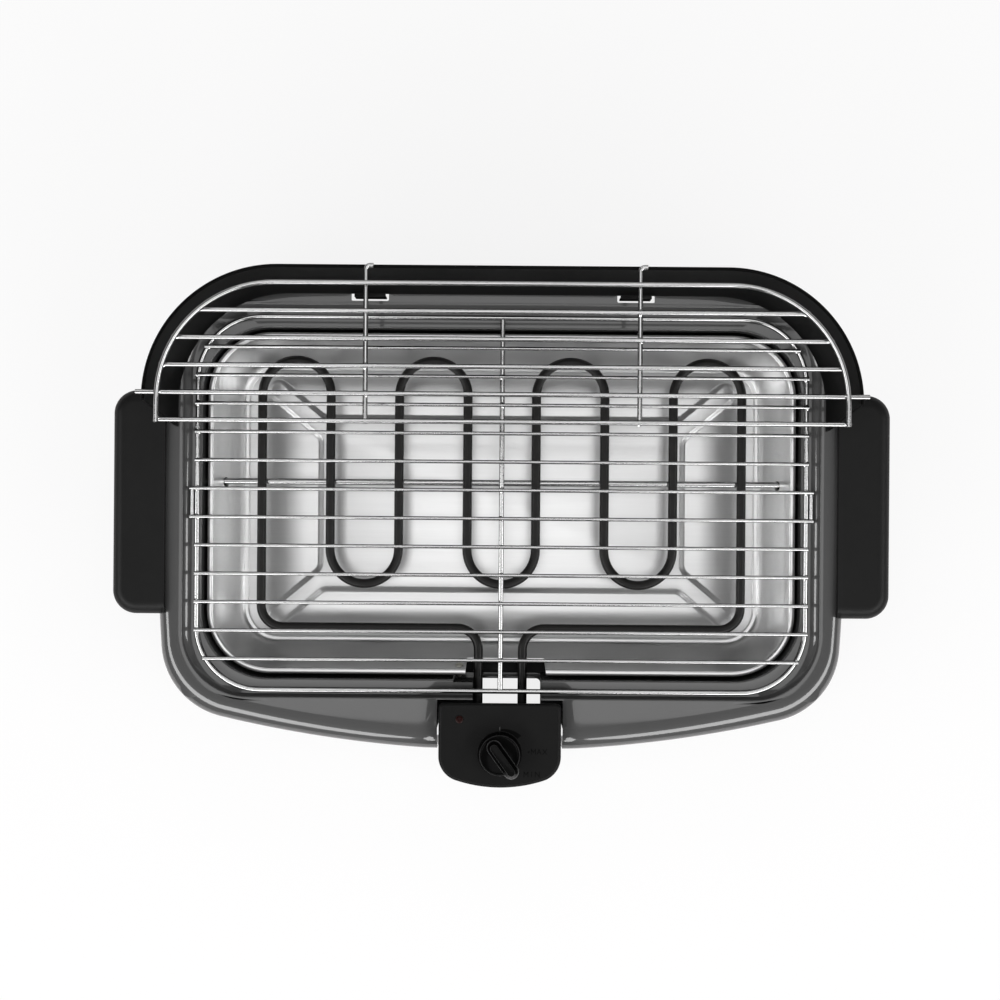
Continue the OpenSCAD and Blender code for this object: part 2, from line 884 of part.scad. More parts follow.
module control_floor() color("black") in_frame()
    difference() {
        intersection() {
            box_solid(0, box_foot_z, box_top_z, box_round);
            translate([-box_w, 2 * box_front_y, 0])
                cube([2 * box_w, -2 * box_front_y, box_split_z]);
        }
        box_solid(box_wall, box_foot_z + box_wall, box_top_z - 1, box_round - box_wall);
        leg_axis()
            translate([0, 0, -box_rear_y])
                cylinder(d = tube_d + pin_clear, h = box_leg_in + 2 * box_wall);
        box_screw_places()
            cylinder(d = m3_hole, h = box_foot_z + 2 * box_wall);
        translate([gland_x, gland_y, 0])
            cylinder(d = gland_d + pin_clear / 2, h = box_foot_z + 2 * box_wall);
    }

module control_screws() color("silver") in_frame()
    box_screw_places() {
        translate([0, 0, box_foot_z - m3_head_h])
            cylinder(d = m3_head_d, h = m3_head_h);
        translate([0, 0, box_foot_z - m3_head_h / 2])
            cylinder(d = m3_d, h = box_screw_len);
    }

module thermostat_body() color("tan") in_frame()
    difference() {
        union() {
            translate([-thermo_w / 2, knob_y - thermo_front, box_foot_z + box_wall])
                cube([thermo_w, thermo_d, thermo_top - box_foot_z - box_wall]);
            translate([0, knob_y, thermo_top - 1])
                cylinder(d = thermo_neck_d, h = thermo_neck_h + 1);
        }
        translate([0, knob_y, thermo_top - shaft_depth - 2])
            cylinder(r = shaft_d / 2 + shaft_clear, h = thermo_top);
    }

module terminal_block() color("ivory") in_frame()
    difference() {
        translate([block_x, block_y, box_foot_z + box_wall])
            cube([block_w, block_d, block_h]);
        for (y = [0.28, 0.72])
            translate([block_x + block_w / 2, block_y + y * block_d, box_foot_z + block_h / 2])
                cylinder(d = block_hole_d, h = block_h);
    }

module lamp_lens() color("orangered") in_frame()
    translate([-lamp_x, lamp_y, box_top_z - box_wall - lamp_flange_h]) {
        cylinder(d = lamp_flange_d, h = lamp_flange_h);
        cylinder(d = lamp_d, h = box_wall + lamp_flange_h + lamp_out);
        translate([0, 0, box_wall + lamp_flange_h + lamp_out])
            intersection() {
                translate([0, 0, -lamp_d])
                    sphere(d = lamp_d * sqrt(5));
                cylinder(d = lamp_d, h = lamp_d);
            }
    }

module neon_lamp() color("orange") in_frame()
    translate([-lamp_x, lamp_y, box_top_z - box_wall - lamp_flange_h - neon_len])
        cylinder(d = neon_d, h = neon_len);

module inlet_gland() color("black") in_frame()
    translate([gland_x, gland_y, box_foot_z - gland_out])
        difference() {
            union() {
                cylinder(d = gland_d + 2 * gland_rim, h = gland_out);
                cylinder(d = gland_d, h = gland_out + box_wall + gland_in);
            }
            translate([0, 0, -1])
                cylinder(d = gland_bore, h = box_foot_z);
        }

module knob_shaft() color("silver") in_frame()
    translate([0, knob_y, thermo_top - shaft_depth])
        cylinder(d = shaft_d, h = box_top_z + knob_skirt + grip_h - 2 * knob_cap
            - thermo_top + shaft_depth);

module control_knob() color("black") in_frame()
    translate([0, knob_y, box_top_z + seat])
        difference() {
            union() {
                rotate_extrude()
                    union() {
                        square([knob_d / 2 - knob_edge, knob_skirt]);
                        square([knob_d / 2, knob_skirt - knob_edge]);
                        translate([knob_d / 2 - knob_edge, knob_skirt - knob_edge])
                            circle(knob_edge);
                    }
                rotate(grip_angle)
                    linear_extrude(knob_skirt + grip_h) {
                        translate([-grip_back, -grip_w / 2])
                            square([grip_back + grip_tip - grip_w / 2, grip_w]);
                        for (x = [-grip_back, grip_tip - grip_w / 2])
                            translate([x, 0])
                                circle(d = grip_w);
                    }
            }
            translate([0, 0, -1])
                cylinder(d = shaft_d + 0.1, h = knob_skirt + grip_h - knob_cap + 1);
        }

// ---- Grate ----

// Half width of a rounded frame at a given distance from its middle
function half_at(y, w, straight, r) =
    abs(y) < straight ? w / 2 : w / 2 - r + sqrt(max(0, r * r - pow(abs(y) - straight, 2)));

module grate_frame() color("silver") in_frame()
    translate([-grate_w / 2 + grate_corner, -grate_d / 2, grate_z])
        bar([
            [grate_w - 2 * grate_corner], [grate_corner, 90],
            [grate_d - 2 * grate_corner], [grate_corner, 90],
            [grate_w - 2 * grate_corner], [grate_corner, 90],
            [grate_d - 2 * grate_corner], [grate_corner, 90]
        ], frame_d);

module grate_cross_wires() color("silver") in_frame()
    for (i = [0 : cross_n - 1]) {
        y = ((cross_n - 1) / 2 - i) * cross_pitch;
        middle = abs(y) < cross_pitch;
        edge = half_at(y, grate_w, grate_d / 2 - grate_corner, grate_corner);
        wire_x(2 * (edge + (middle ? lug_out + cross_d / 2 : cross_d / 2)), cross_d, y, cross_z);
    }

module grate_centre_wire() color("silver") in_frame()
    wire_y(-grate_d / 2 + frame_d / 2 - weld, grate_d / 2 - frame_d / 2 + weld, frame_d, 0,
        cross_z - (cross_d + frame_d) / 2 + weld);

module grate_lugs() color("silver") in_frame()
    for (x = [-1, 1])
        wire_y(-cross_pitch / 2 - cross_d / 2, cross_pitch / 2 + cross_d / 2, cross_d,
            x * (grate_w / 2 + lug_out), cross_z - cross_d + weld);

// ---- Wind shield ----

module shield_section()
    polygon([[-shield_t, deck_z], [0, deck_z], [shield_lean, deck_z + shield_h],
        [shield_lean - shield_t, deck_z + shield_h]]);

// Side view of the shield, whose rear is lower by a wire's thickness for the hook wires
module shield_side()
    polygon([[shield_y, deck_z + rear_h], [arm_top_y, deck_z + shield_h],
        [arm_foot_y, deck_z + foot_edge_h], [arm_foot_y, deck_z - 1],
        [shield_y + 2 * shield_lean, deck_z - 1], [shield_y + 2 * shield_lean, deck_z + rear_h]]);

module wind_shield() color("black") in_frame() {
    straight = shield_w / 2 - shield_corner;
    bend_y = shield_y - shield_corner;
    intersection() {
        union() {
            rim_line([-straight, shield_y], 90, 2 * straight)
                shield_section();
            for (s = [0, 1])
                mirror([s, 0, 0]) {
                    rim_arc([straight, bend_y], shield_corner, 0, 90)
                        shield_section();
                    rim_line([shield_w / 2, bend_y], 0, bend_y - arm_foot_y)
                        shield_section();
                }
        }
        translate([-shield_w, 0, 0])
            rotate([90, 0, 90])
                linear_extrude(2 * shield_w)
                    shield_side();
    }
    for (x = [-1, 1])
        translate([x * tab_x - tab_w / 2, shield_y - shield_t - tab_set, deck_z]) {
            cube([tab_w, shield_t + tab_set, shield_t]);
            translate([0, 0, -tab_drop])
                cube([tab_w, shield_t, tab_drop + shield_t]);
        }
}

// ---- Warming rack ----

module rack_frame() color("silver") in_frame()
    translate([-rack_w / 2, rack_front - rack_d / 2, rack_z + rack_layer])
        rotate(90)
            bar([
                [rack_y - rack_corner - rack_front + rack_d / 2], [rack_corner, -90],
                [rack_w - 2 * rack_corner], [rack_corner, -90],
                [rack_y - rack_corner - rack_front + rack_d / 2]
            ], rack_d);

module rack_cross_wires() color("silver") in_frame()
    for (i = [1 : rack_n]) {
        y = rack_y - i * rack_pitch;
        edge = half_at(y - rack_y + rack_corner, rack_w, 0, rack_corner);
        half = i == rack_n - 1 ? arm_reach : (y < rack_y - rack_corner ? rack_w / 2 : edge);
        wire_x(2 * (half + rack_d / 2), rack_d, y, rack_z);
    }

// Two wires below the others, whose ends turn aside to lie on the shield's rear edge
module rack_hook_wires() color("silver") in_frame()
    for (x = [-1, 1])
        translate([x * hook_x, rack_front - rack_d / 2, rack_z - rack_layer])
            rotate(90)
                bar([[hook_y - rack_front + rack_d / 2], [hook_r, -90], [hook_end]], rack_d);

base_shell();
heat_plate();
feet();
left_handle();
right_handle();
handle_screws();
drip_tray();
tray_screw();
support_rod();
heating_element();
element_terminals();
control_cover();
control_floor();
control_screws();
thermostat_body();
terminal_block();
neon_lamp();
lamp_lens();
inlet_gland();
knob_shaft();
control_knob();
grate_frame();
grate_cross_wires();
grate_centre_wire();
grate_lugs();
wind_shield();
rack_frame();
rack_cross_wires();
rack_hook_wires();
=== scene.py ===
"""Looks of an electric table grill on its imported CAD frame. Sizes are in millimetres."""

import logging
from dataclasses import dataclass, field
from enum import Enum
from math import acos, atan2, copysign, cos, degrees, hypot, pi, radians, sin, sqrt, tan

import bmesh
import bpy
from mathutils import Matrix, Vector


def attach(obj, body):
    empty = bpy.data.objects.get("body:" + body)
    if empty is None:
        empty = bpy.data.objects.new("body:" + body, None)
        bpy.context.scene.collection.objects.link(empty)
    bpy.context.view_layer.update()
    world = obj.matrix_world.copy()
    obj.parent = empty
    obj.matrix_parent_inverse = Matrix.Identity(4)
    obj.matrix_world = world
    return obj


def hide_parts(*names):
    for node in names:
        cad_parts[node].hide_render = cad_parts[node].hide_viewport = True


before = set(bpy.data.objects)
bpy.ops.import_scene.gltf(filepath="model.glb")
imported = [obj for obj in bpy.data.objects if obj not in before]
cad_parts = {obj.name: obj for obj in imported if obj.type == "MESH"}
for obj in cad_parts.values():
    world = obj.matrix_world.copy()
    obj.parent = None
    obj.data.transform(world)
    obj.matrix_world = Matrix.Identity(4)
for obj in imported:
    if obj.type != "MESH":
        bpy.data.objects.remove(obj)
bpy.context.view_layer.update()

MM = 0.001
MID_Y = 14.0
DECK_Z = 76.0
log = logging.getLogger("table_grill")

Piece = bpy.types.Object
Node = bpy.types.Node
Socket = bpy.types.NodeSocket
Ring = list[Vector]
Pair = tuple[float, float]
Spot = tuple[float, float, float]
Tint = tuple[float, float, float, float]


def grey(level: float) -> Tint:
    """Return a neutral tint of the given linear level."""
    return (level, level, level, 1.0)


# ---------------------------------------------------------------- shader effects


class Effect(Enum):
    """Shader effects that several finishes share, each built once as a node group."""

    GRAIN = "fine grain"
    BRUSHED = "brushed lines"
    WEAR_AND_GLINT = "edge wear and glint"
    DUST = "settled dust"
    MOTTLE = "slow mottle"


class Shader:
    """Adds and joins nodes in one node tree.

    Args:
        tree: the node tree that receives the nodes.
    """

    def __init__(self, tree: bpy.types.NodeTree) -> None:
        """Keep the tree that the nodes go to."""
        self.tree = tree

    def add(self, kind: str, settings: dict | None = None, **inputs: object) -> Node:
        """Add a node, then set or join its inputs.

        Args:
            kind: the node's type name.
            settings: properties of the node itself.
            inputs: values or sockets by input name, with _ for a space.
        Returns:
            The new node.
        """
        node = self.tree.nodes.new(kind)
        for name, value in (settings or {}).items():
            setattr(node, name, value)
        for name, value in inputs.items():
            self.join(value, node.inputs[name.replace("_", " ")])
        return node

    def join(self, value: object, socket: Socket) -> None:
        """Link a socket, or set a plain value.

        Args:
            value: an output socket or a default value.
            socket: the input that takes it.
        """
        if isinstance(value, Socket):
            self.tree.links.new(value, socket)
        else:
            socket.default_value = value

    def math(self, operation: str, first: object, second: object = 0.0) -> Socket:
        """Return the clamped result of a math node on two values."""
        node = self.add("ShaderNodeMath", {"operation": operation, "use_clamp": True})
        self.join(first, node.inputs[0])
        self.join(second, node.inputs[1])
        return node.outputs[0]

    def blend(self, factor: object, first: object, second: object) -> Socket:
        """Return a colour mixed from two others by a factor."""
        node = self.add("ShaderNodeMix", {"data_type": "RGBA"})
        self.join(factor, node.inputs[0])
        self.join(first, node.inputs[6])
        self.join(second, node.inputs[7])
        return node.outputs[2]

    def spread(self, factor: object, low: float, high: float) -> Socket:
        """Return a factor from 0 to 1 mapped onto a range."""
        return self.remap(factor, To_Min=low, To_Max=high)

    def remap(self, value: object, **limits: object) -> Socket:
        """Return a value mapped between limits, which are named like the node's inputs."""
        return self.add("ShaderNodeMapRange", Value=value, **limits).outputs[0]

    def choose(self, factor: object, first: object, second: object) -> Socket:
        """Return a surface that goes from one to another by a factor."""
        node = self.add("ShaderNodeMixShader")
        for value, socket in zip((factor, first, second), node.inputs):
            self.join(value, socket)
        return node.outputs[0]

    def leaning(self, axis: str, low: float, high: float) -> Socket:
        """Return 0 to 1 as the surface turns to a world axis, between two leans."""
        normal = self.add("ShaderNodeNewGeometry").outputs["Normal"]
        lean = self.add("ShaderNodeSeparateXYZ", Vector=normal).outputs[axis]
        return self.remap(self.math("ABSOLUTE", lean), From_Min=low, From_Max=high)


class EffectLibrary:
    """Builds each shared effect once and places it in materials."""

    def __init__(self) -> None:
        """Start with no groups built."""
        self.groups: dict[Effect, bpy.types.NodeTree] = {}

    def place(self, shader: Shader, effect: Effect, **values: object) -> Node:
        """Place an effect in a material with its own values.

        Args:
            shader: the material's node maker.
            effect: which effect to place.
            values: the group's inputs by name, with _ for a space.
        Returns:
            The group node, whose outputs feed the material.
        """
        if effect not in self.groups:
            self.groups[effect] = self.build(effect)
        return shader.add("ShaderNodeGroup", {"node_tree": self.groups[effect]}, **values)

    def build(self, effect: Effect) -> bpy.types.NodeTree:
        """Build the node group of an effect.

        Args:
            effect: which effect to build.
        Returns:
            The finished group.
        """
        inputs, outputs, wire = {
            Effect.GRAIN: ({"Scale": 900.0, "Contrast": 0.5}, ("Height", "Tone"), self.grain),
            Effect.BRUSHED: ({"Scale": 260.0, "Stretch": 0.03}, ("Height", "Tone"), self.brushed),
            Effect.WEAR_AND_GLINT: ({"Reach": 0.54, "Break Up": 220.0}, ("Mask",), self.wear_and_glint),
            Effect.DUST: ({"Amount": 0.3, "Scale": 60.0}, ("Mask",), self.dust),
            Effect.MOTTLE: ({"Scale": 12.0, "Sharpness": 0.5}, ("Value",), self.mottle),
        }[effect]
        tree = bpy.data.node_groups.new(effect.value, "ShaderNodeTree")
        for name, value in inputs.items():
            socket = tree.interface.new_socket(name, in_out="INPUT", socket_type="NodeSocketFloat")
            socket.default_value = value
        for name in outputs:
            tree.interface.new_socket(name, in_out="OUTPUT", socket_type="NodeSocketFloat")
        shader = Shader(tree)
        enter = shader.add("NodeGroupInput")
        leave = shader.add("NodeGroupOutput")
        for name, socket in zip(outputs, wire(shader, enter)):
            shader.join(socket, leave.inputs[name])
        return tree

    def object_point(self, shader: Shader) -> Socket:
        """Return the surface point in the object's own axes."""
        return shader.add("ShaderNodeTexCoord").outputs["Object"]

    def noise(self, shader: Shader, scale: object, detail: float, rough: object = 0.5,
              point: object = None) -> Socket:
        """Return a noise over the object's own axes, or over another point."""
        over = self.object_point(shader) if point is None else point
        return shader.add("ShaderNodeTexNoise", Vector=over, Scale=scale, Detail=detail,
                          Roughness=rough).outputs[0]

    def grain(self, shader: Shader, enter: Node) -> list[Socket]:
        """Wire a fine pebbled grain and return its height and tone."""
        scale = enter.outputs["Scale"]
        noise = self.noise(shader, scale, 4.0, 0.62)
        pits = shader.add("ShaderNodeTexVoronoi", {"feature": "SMOOTH_F1"},
                          Vector=self.object_point(shader), Scale=scale)
        height = shader.math("ADD", shader.math("MULTIPLY", noise, 0.6),
                             shader.math("MULTIPLY", pits.outputs["Distance"], 0.4))
        tone = shader.math("MULTIPLY", shader.math("SUBTRACT", noise, 0.25),
                           enter.outputs["Contrast"])
        return [height, tone]

    def brushed(self, shader: Shader, enter: Node) -> list[Socket]:
        """Wire long brush lines along X and return their height and tone."""
        stretch = shader.add("ShaderNodeCombineXYZ", X=enter.outputs["Stretch"], Y=1.0, Z=1.0)
        point = shader.add("ShaderNodeVectorMath", {"operation": "MULTIPLY"})
        shader.join(self.object_point(shader), point.inputs[0])
        shader.join(stretch.outputs[0], point.inputs[1])
        fine = self.noise(shader, enter.outputs["Scale"], 5.0, 0.7, point.outputs[0])
        broad = self.noise(shader, 38.0, 3.0, point=point.outputs[0])
        tone = shader.math("ADD", shader.math("MULTIPLY", fine, 0.6),
                           shader.math("MULTIPLY", broad, 0.4))
        return [fine, tone]

    def wear_and_glint(self, shader: Shader, enter: Node) -> list[Socket]:
        """Wire a broken mask along raised edges."""
        point = shader.add("ShaderNodeNewGeometry").outputs["Pointiness"]
        edge = shader.remap(point, From_Min=enter.outputs["Reach"], From_Max=0.68)
        return [shader.math("MULTIPLY", edge, self.noise(shader, enter.outputs["Break Up"], 3.0))]

    def dust(self, shader: Shader, enter: Node) -> list[Socket]:
        """Wire a thin uneven film on faces that look up."""
        normal = shader.add("ShaderNodeNewGeometry").outputs["Normal"]
        up = shader.add("ShaderNodeSeparateXYZ", Vector=normal).outputs["Z"]
        noise = self.noise(shader, enter.outputs["Scale"], 6.0, 0.7)
        film = shader.math("MULTIPLY", shader.math("SUBTRACT", noise, 0.35), up)
        return [shader.math("MULTIPLY", film, enter.outputs["Amount"])]

    def mottle(self, shader: Shader, enter: Node) -> list[Socket]:
        """Wire a slow cloudy variation over centimetres."""
        return [self.noise(shader, enter.outputs["Scale"], 4.0, enter.outputs["Sharpness"])]


EFFECTS = EffectLibrary()


# ---------------------------------------------------------------- finishes


@dataclass(frozen=True)
class Finish:
    """A surface: two tones, a gloss, a grain, an edge tint and settled dust; the edge tint is wear
    on most finishes and a painted highlight on the knob.

    Args:
        slot: the record's material slot that the finish belongs to.
        base: the main tint.
        shade: the second tint that the grain or mottle brings in.
        gloss: lowest and highest roughness over the surface.
        metal: 1 for bare metal and 0 for the rest.
        coat: weight of a clear coat.
        coat_rough: roughness of that coat.
        coat_ior: how strongly that coat mirrors.
        grain: scale of the grain.
        bump: depth of the grain in metres.
        cloud: scale of the slow mottle.
        wear_and_glint: tint along raised edges: worn edges on most finishes, a painted highlight on
            the knob.
        wear_and_glint_reach: pointiness at which that edge tint begins.
        dust: amount of settled dust.
        shine: level of the plain reflection, 0.5 for common plastics.
        title: name of the material, when the slot has more than one.
    """

    slot: str
    base: Tint
    shade: Tint
    gloss: Pair = (0.4, 0.5)
    metal: float = 0.0
    coat: float = 0.0
    coat_rough: float = 0.1
    coat_ior: float = 1.5
    grain: float = 900.0
    bump: float = 0.00004
    cloud: float = 14.0
    wear_and_glint: Tint = grey(0.2)
    wear_and_glint_reach: float = 0.56
    dust: float = 0.06
    shine: float = 0.5
    title: str = ""

    def pattern(self, shader: Shader) -> Node:
        """Return the effect that gives the surface its relief."""
        return EFFECTS.place(shader, Effect.GRAIN, Scale=self.grain, Contrast=0.8)

    def material(self) -> bpy.types.Material:
        """Return the finish as a material, built on first use."""
        name = f"finish {self.title or self.slot}"
        known = bpy.data.materials.get(name)
        if known:
            return known
        made = bpy.data.materials.new(name)
        made.use_nodes = True
        made.node_tree.nodes.clear()
        self.dress(Shader(made.node_tree))
        return made

    def dress(self, shader: Shader) -> None:
        """Wire the whole surface.

        Args:
            shader: the material's node maker.
        """
        relief = self.pattern(shader)
        cloud = EFFECTS.place(shader, Effect.MOTTLE, Scale=self.cloud, Sharpness=0.55).outputs[0]
        tone = shader.math("ADD", shader.math("MULTIPLY", relief.outputs["Tone"], 0.6),
                           shader.math("MULTIPLY", cloud, 0.4))
        tint = shader.blend(tone, self.base, self.shade)
        # Edge tint: worn edges on most finishes, a painted highlight on the knob's ridges and rims.
        wear_and_glint_mask = EFFECTS.place(shader, Effect.WEAR_AND_GLINT, Reach=self.wear_and_glint_reach, Break_Up=240.0).outputs[0]
        tint = shader.blend(wear_and_glint_mask, tint, self.wear_and_glint)
        film = EFFECTS.place(shader, Effect.DUST, Amount=self.dust, Scale=70.0).outputs[0]
        tint = shader.blend(film, tint, (0.42, 0.4, 0.37, 1.0))
        rough = shader.spread(cloud, self.gloss[0], self.gloss[1])
        bump = shader.add("ShaderNodeBump", Height=relief.outputs["Height"], Strength=1.0,
                          Distance=self.bump)
        surface = self.surface(shader, tint, rough, bump.outputs[0])
        shader.add("ShaderNodeOutputMaterial", Surface=surface.outputs[0])

    def surface(self, shader: Shader, tint: object, rough: object, normal: object) -> Node:
        """Return the surface shader with its plain values set on its own sockets."""
        surface = shader.add("ShaderNodeBsdfPrincipled", Base_Color=tint, Roughness=rough,
                             Normal=normal)
        for name, value in (("Metallic", self.metal), ("Specular IOR Level", self.shine),
                            ("Coat Weight", self.coat), ("Coat Roughness", self.coat_rough),
                            ("Coat IOR", self.coat_ior)):
            surface.inputs[name].default_value = value
        return surface


@dataclass(frozen=True)
class BrushedSteel(Finish):
    """Sheet with fine brush lines along X."""

    lines: float = 420.0
    stretch: float = 0.03

    def pattern(self, shader: Shader) -> Node:
        """Return brush lines in place of the pebbled grain."""
        return EFFECTS.place(shader, Effect.BRUSHED, Scale=self.lines, Stretch=self.stretch)


@dataclass(frozen=True)
class PressedSteel(BrushedSteel):
    """Brushed sheet whose front and rear walls, across the brush lines, carry painted shade."""

    painted_wall_shade: float = 0.55

    def surface(self, shader: Shader, tint: object, rough: object, normal: object) -> Node:
        """Return the metal surface with painted shade on the front and rear walls."""
        # Painted shade: the more a face turns to front or rear, the more its tint goes to dark
        # grey.
        wall = shader.math("MULTIPLY", shader.leaning("Y", 0.3, 0.85), self.painted_wall_shade)
        return super().surface(shader, shader.blend(wall, tint, grey(0.02)), rough, normal)


@dataclass(frozen=True)
class WireChrome(Finish):
    """Plated wire with painted shade: bright on top and darker down its sides."""

    painted_side_shade: Tint = grey(0.07)

    def surface(self, shader: Shader, tint: object, rough: object, normal: object) -> Node:
        """Return the plated surface with painted shade down its sides."""
        # Painted shade: faces that turn away from straight up blend towards a dark grey.
        top = shader.leaning("Z", 0.3, 0.9)
        return super().surface(shader, shader.blend(top, self.painted_side_shade, tint), rough, normal)


@dataclass(frozen=True)
class TintedLens(Finish):
    """Clear plastic that lets some light through."""

    transmission: float = 0.12

    def surface(self, shader: Shader, tint: object, rough: object, normal: object) -> Node:
        """Return the moulded surface with some transmission added."""
        surface = super().surface(shader, tint, rough, normal)
        surface.inputs["Transmission Weight"].default_value = self.transmission
        return surface


BASE_GREY = Finish("base_grey", grey(0.064), grey(0.078), gloss=(0.26, 0.36), coat=0.9,
                   coat_rough=0.05, coat_ior=1.65, grain=1500.0, bump=0.000002, wear_and_glint=grey(0.11),
                   dust=0.02, shine=0.15)
HANDLE_BLACK = Finish("handle_black", grey(0.005), grey(0.009), gloss=(0.4, 0.5), grain=1300.0,
                      bump=0.00003, wear_and_glint=grey(0.03), dust=0.01, shine=0.2)
CONTROL_BLACK = Finish("control_black", grey(0.0065), grey(0.011), gloss=(0.36, 0.46),
                       grain=1700.0, bump=0.00002, wear_and_glint=grey(0.012), wear_and_glint_reach=0.6, dust=0.01,
                       shine=0.09)
# Painted highlight: the knob's light edge tint draws thin bright lines along its grip and rims.
KNOB_BLACK = Finish("knob_black", grey(0.0015), grey(0.003), gloss=(0.16, 0.22), grain=1900.0,
                    bump=0.000004, wear_and_glint=grey(0.5), wear_and_glint_reach=0.53, dust=0.002, shine=0.06)
SCALE_BLACK = Finish("control_black", grey(0.0015), grey(0.003), gloss=(0.5, 0.6), bump=0.0,
                     wear_and_glint=grey(0.003), dust=0.0, shine=0.05, title="scale print")
SCALE_GREY = Finish("control_black", grey(0.05), grey(0.07), gloss=(0.5, 0.6), bump=0.0,
                    wear_and_glint=grey(0.08), dust=0.0, shine=0.2, title="scale tick")
FOOT_RUBBER = Finish("foot_rubber", grey(0.014), grey(0.03), gloss=(0.7, 0.85), grain=1100.0,
                     bump=0.00006, dust=0.2, shine=0.3)
HEAT_PLATE = Finish("heat_plate_black", grey(0.01), grey(0.02), gloss=(0.45, 0.6), grain=800.0,
                    bump=0.00002, dust=0.03, shine=0.2)
SHIELD_BLACK = Finish("shield_black", grey(0.004), grey(0.0065), gloss=(0.4, 0.5), grain=1500.0,
                      bump=0.000012, wear_and_glint=grey(0.04), dust=0.01, shine=0.04)
ELEMENT_BLACK = Finish("element_black", grey(0.007), (0.014, 0.012, 0.011, 1.0),
                       gloss=(0.3, 0.45), grain=1400.0, bump=0.00002, cloud=40.0, wear_and_glint=grey(0.03),
                       dust=0.01, shine=0.3)
# The wires' darker sides are painted shade.
CHROME = WireChrome("chrome_wire", grey(0.62), grey(0.8), gloss=(0.1, 0.18), metal=1.0,
                    grain=500.0, bump=0.000002, cloud=60.0, wear_and_glint=grey(0.85), wear_and_glint_reach=0.64,
                    dust=0.0)
ZINC = Finish("zinc_steel", (0.5, 0.5, 0.47, 1.0), (0.62, 0.6, 0.5, 1.0), gloss=(0.25, 0.42),
              metal=1.0, grain=1200.0, bump=0.00002, dust=0.04)
# The tray's front and rear walls are darkened by painted shade.
TRAY_STEEL = PressedSteel("tray_steel", grey(0.72), grey(0.95), gloss=(0.24, 0.36), metal=1.0,
                          bump=0.00001, wear_and_glint=grey(0.95), wear_and_glint_reach=0.6, dust=0.01,
                          painted_wall_shade=0.6)
CERAMIC = Finish("ceramic_tan", (0.42, 0.32, 0.22, 1.0), (0.5, 0.4, 0.3, 1.0), gloss=(0.55, 0.7),
                 grain=1200.0, bump=0.00005)
IVORY = Finish("block_ivory", (0.62, 0.58, 0.46, 1.0), (0.68, 0.64, 0.54, 1.0), gloss=(0.4, 0.5),
               grain=1200.0, bump=0.00002)
LENS_RED = TintedLens("lamp_red", (0.012, 0.002, 0.002, 1.0), (0.02, 0.004, 0.003, 1.0),
                      gloss=(0.3, 0.4), bump=0.000004, wear_and_glint=(0.02, 0.004, 0.003, 1.0), dust=0.0,
                      shine=0.05)


# ---------------------------------------------------------------- mesh making


@dataclass(frozen=True)
class PlanPoint:
    """A point on a plan contour with its outward direction."""

    x: float
    y: float
    nx: float
    ny: float

    def inward(self, depth: float, z: float) -> Vector:
        """Return the place at a depth inside the contour and a height."""
        return Vector((self.x - self.nx * depth, self.y - self.ny * depth, z))


class Contour:
    """A plan contour whose points run anticlockwise.

    Args:
        points: the points in order.
    """

    def __init__(self, points: list[PlanPoint]) -> None:
        """Keep the points."""
        self.points = points

    def ring(self, depth: float, z: float) -> Ring:
        """Return the contour moved inward by a depth, at a height."""
        return [point.inward(depth, z) for point in self.points]


def arc(centre: Pair, radius: float, start: float, end: float, steps: int,
        ends: bool = True) -> list[PlanPoint]:
    """Sample an arc.

    Args:
        centre: middle of the arc.
        radius: its radius.
        start: first direction in degrees.
        end: last direction in degrees.
        steps: number of equal steps.
        ends: whether the two end points are kept.
    Returns:
        The points from start to end.
    """
    points = []
    for i in range(steps + 1) if ends else range(1, steps):
        a = radians(start + (end - start) * i / steps)
        n = (cos(a), sin(a))
        points.append(PlanPoint(centre[0] + radius * n[0], centre[1] + radius * n[1], *n))
    return points


def side(first: PlanPoint, last: PlanPoint, steps: int) -> list[PlanPoint]:
    """Return the inner points of a straight side between two points that face the same way."""
    return [PlanPoint(first.x + (last.x - first.x) * i / steps,
                      first.y + (last.y - first.y) * i / steps, first.nx, first.ny)
            for i in range(1, steps)]


@dataclass(frozen=True)
class Fineness:
    """How many steps a contour has along its corners and sides."""

    corner: int = 20
    long: int = 44
    short: int = 26


def rounded_rectangle(w: float, d: float, r: float, y: float = MID_Y, x: float = 0.0,
                      fine: Fineness = Fineness()) -> Contour:
    """Make a rounded rectangle as a contour.

    Args:
        w: width along X.
        d: depth along Y.
        r: corner radius.
        y: middle along Y.
        x: middle along X.
        fine: steps along the corners and sides.
    Returns:
        The contour, starting at the right end of the rear right corner.
    """
    points: list[PlanPoint] = []
    corners = [arc((x + sx * (w / 2 - r), y + sy * (d / 2 - r)), r, 90 * k, 90 * k + 90,
                   fine.corner)
               for k, (sx, sy) in enumerate([(1, 1), (-1, 1), (-1, -1), (1, -1)])]
    for k in range(4):
        points += corners[k]
        steps = fine.long if k % 2 == 0 else fine.short
        points += side(corners[k][-1], corners[(k + 1) % 4][0], steps)
    return Contour(points)


def make_mesh(name: str, verts: list[Vector], faces: list[list[int]],
              smooth_angle: float = 40.0) -> Piece:
    """Make an object from points in millimetres.

    Args:
        name: the piece's name.
        verts: its points.
        faces: its faces as point numbers.
        smooth_angle: edges sharper than this stay crisp, in degrees.
    Returns:
        The object, linked to the scene.
    """
    mesh = bpy.data.meshes.new(name)
    mesh.from_pydata([v * MM for v in verts], [], faces)
    tidy = bmesh.new()
    tidy.from_mesh(mesh)
    bmesh.ops.remove_doubles(tidy, verts=tidy.verts, dist=2e-6)
    bmesh.ops.recalc_face_normals(tidy, faces=tidy.faces)
    tidy.to_mesh(mesh)
    tidy.free()
    made = stand(name, mesh)
    soften(made, smooth_angle)
    return made


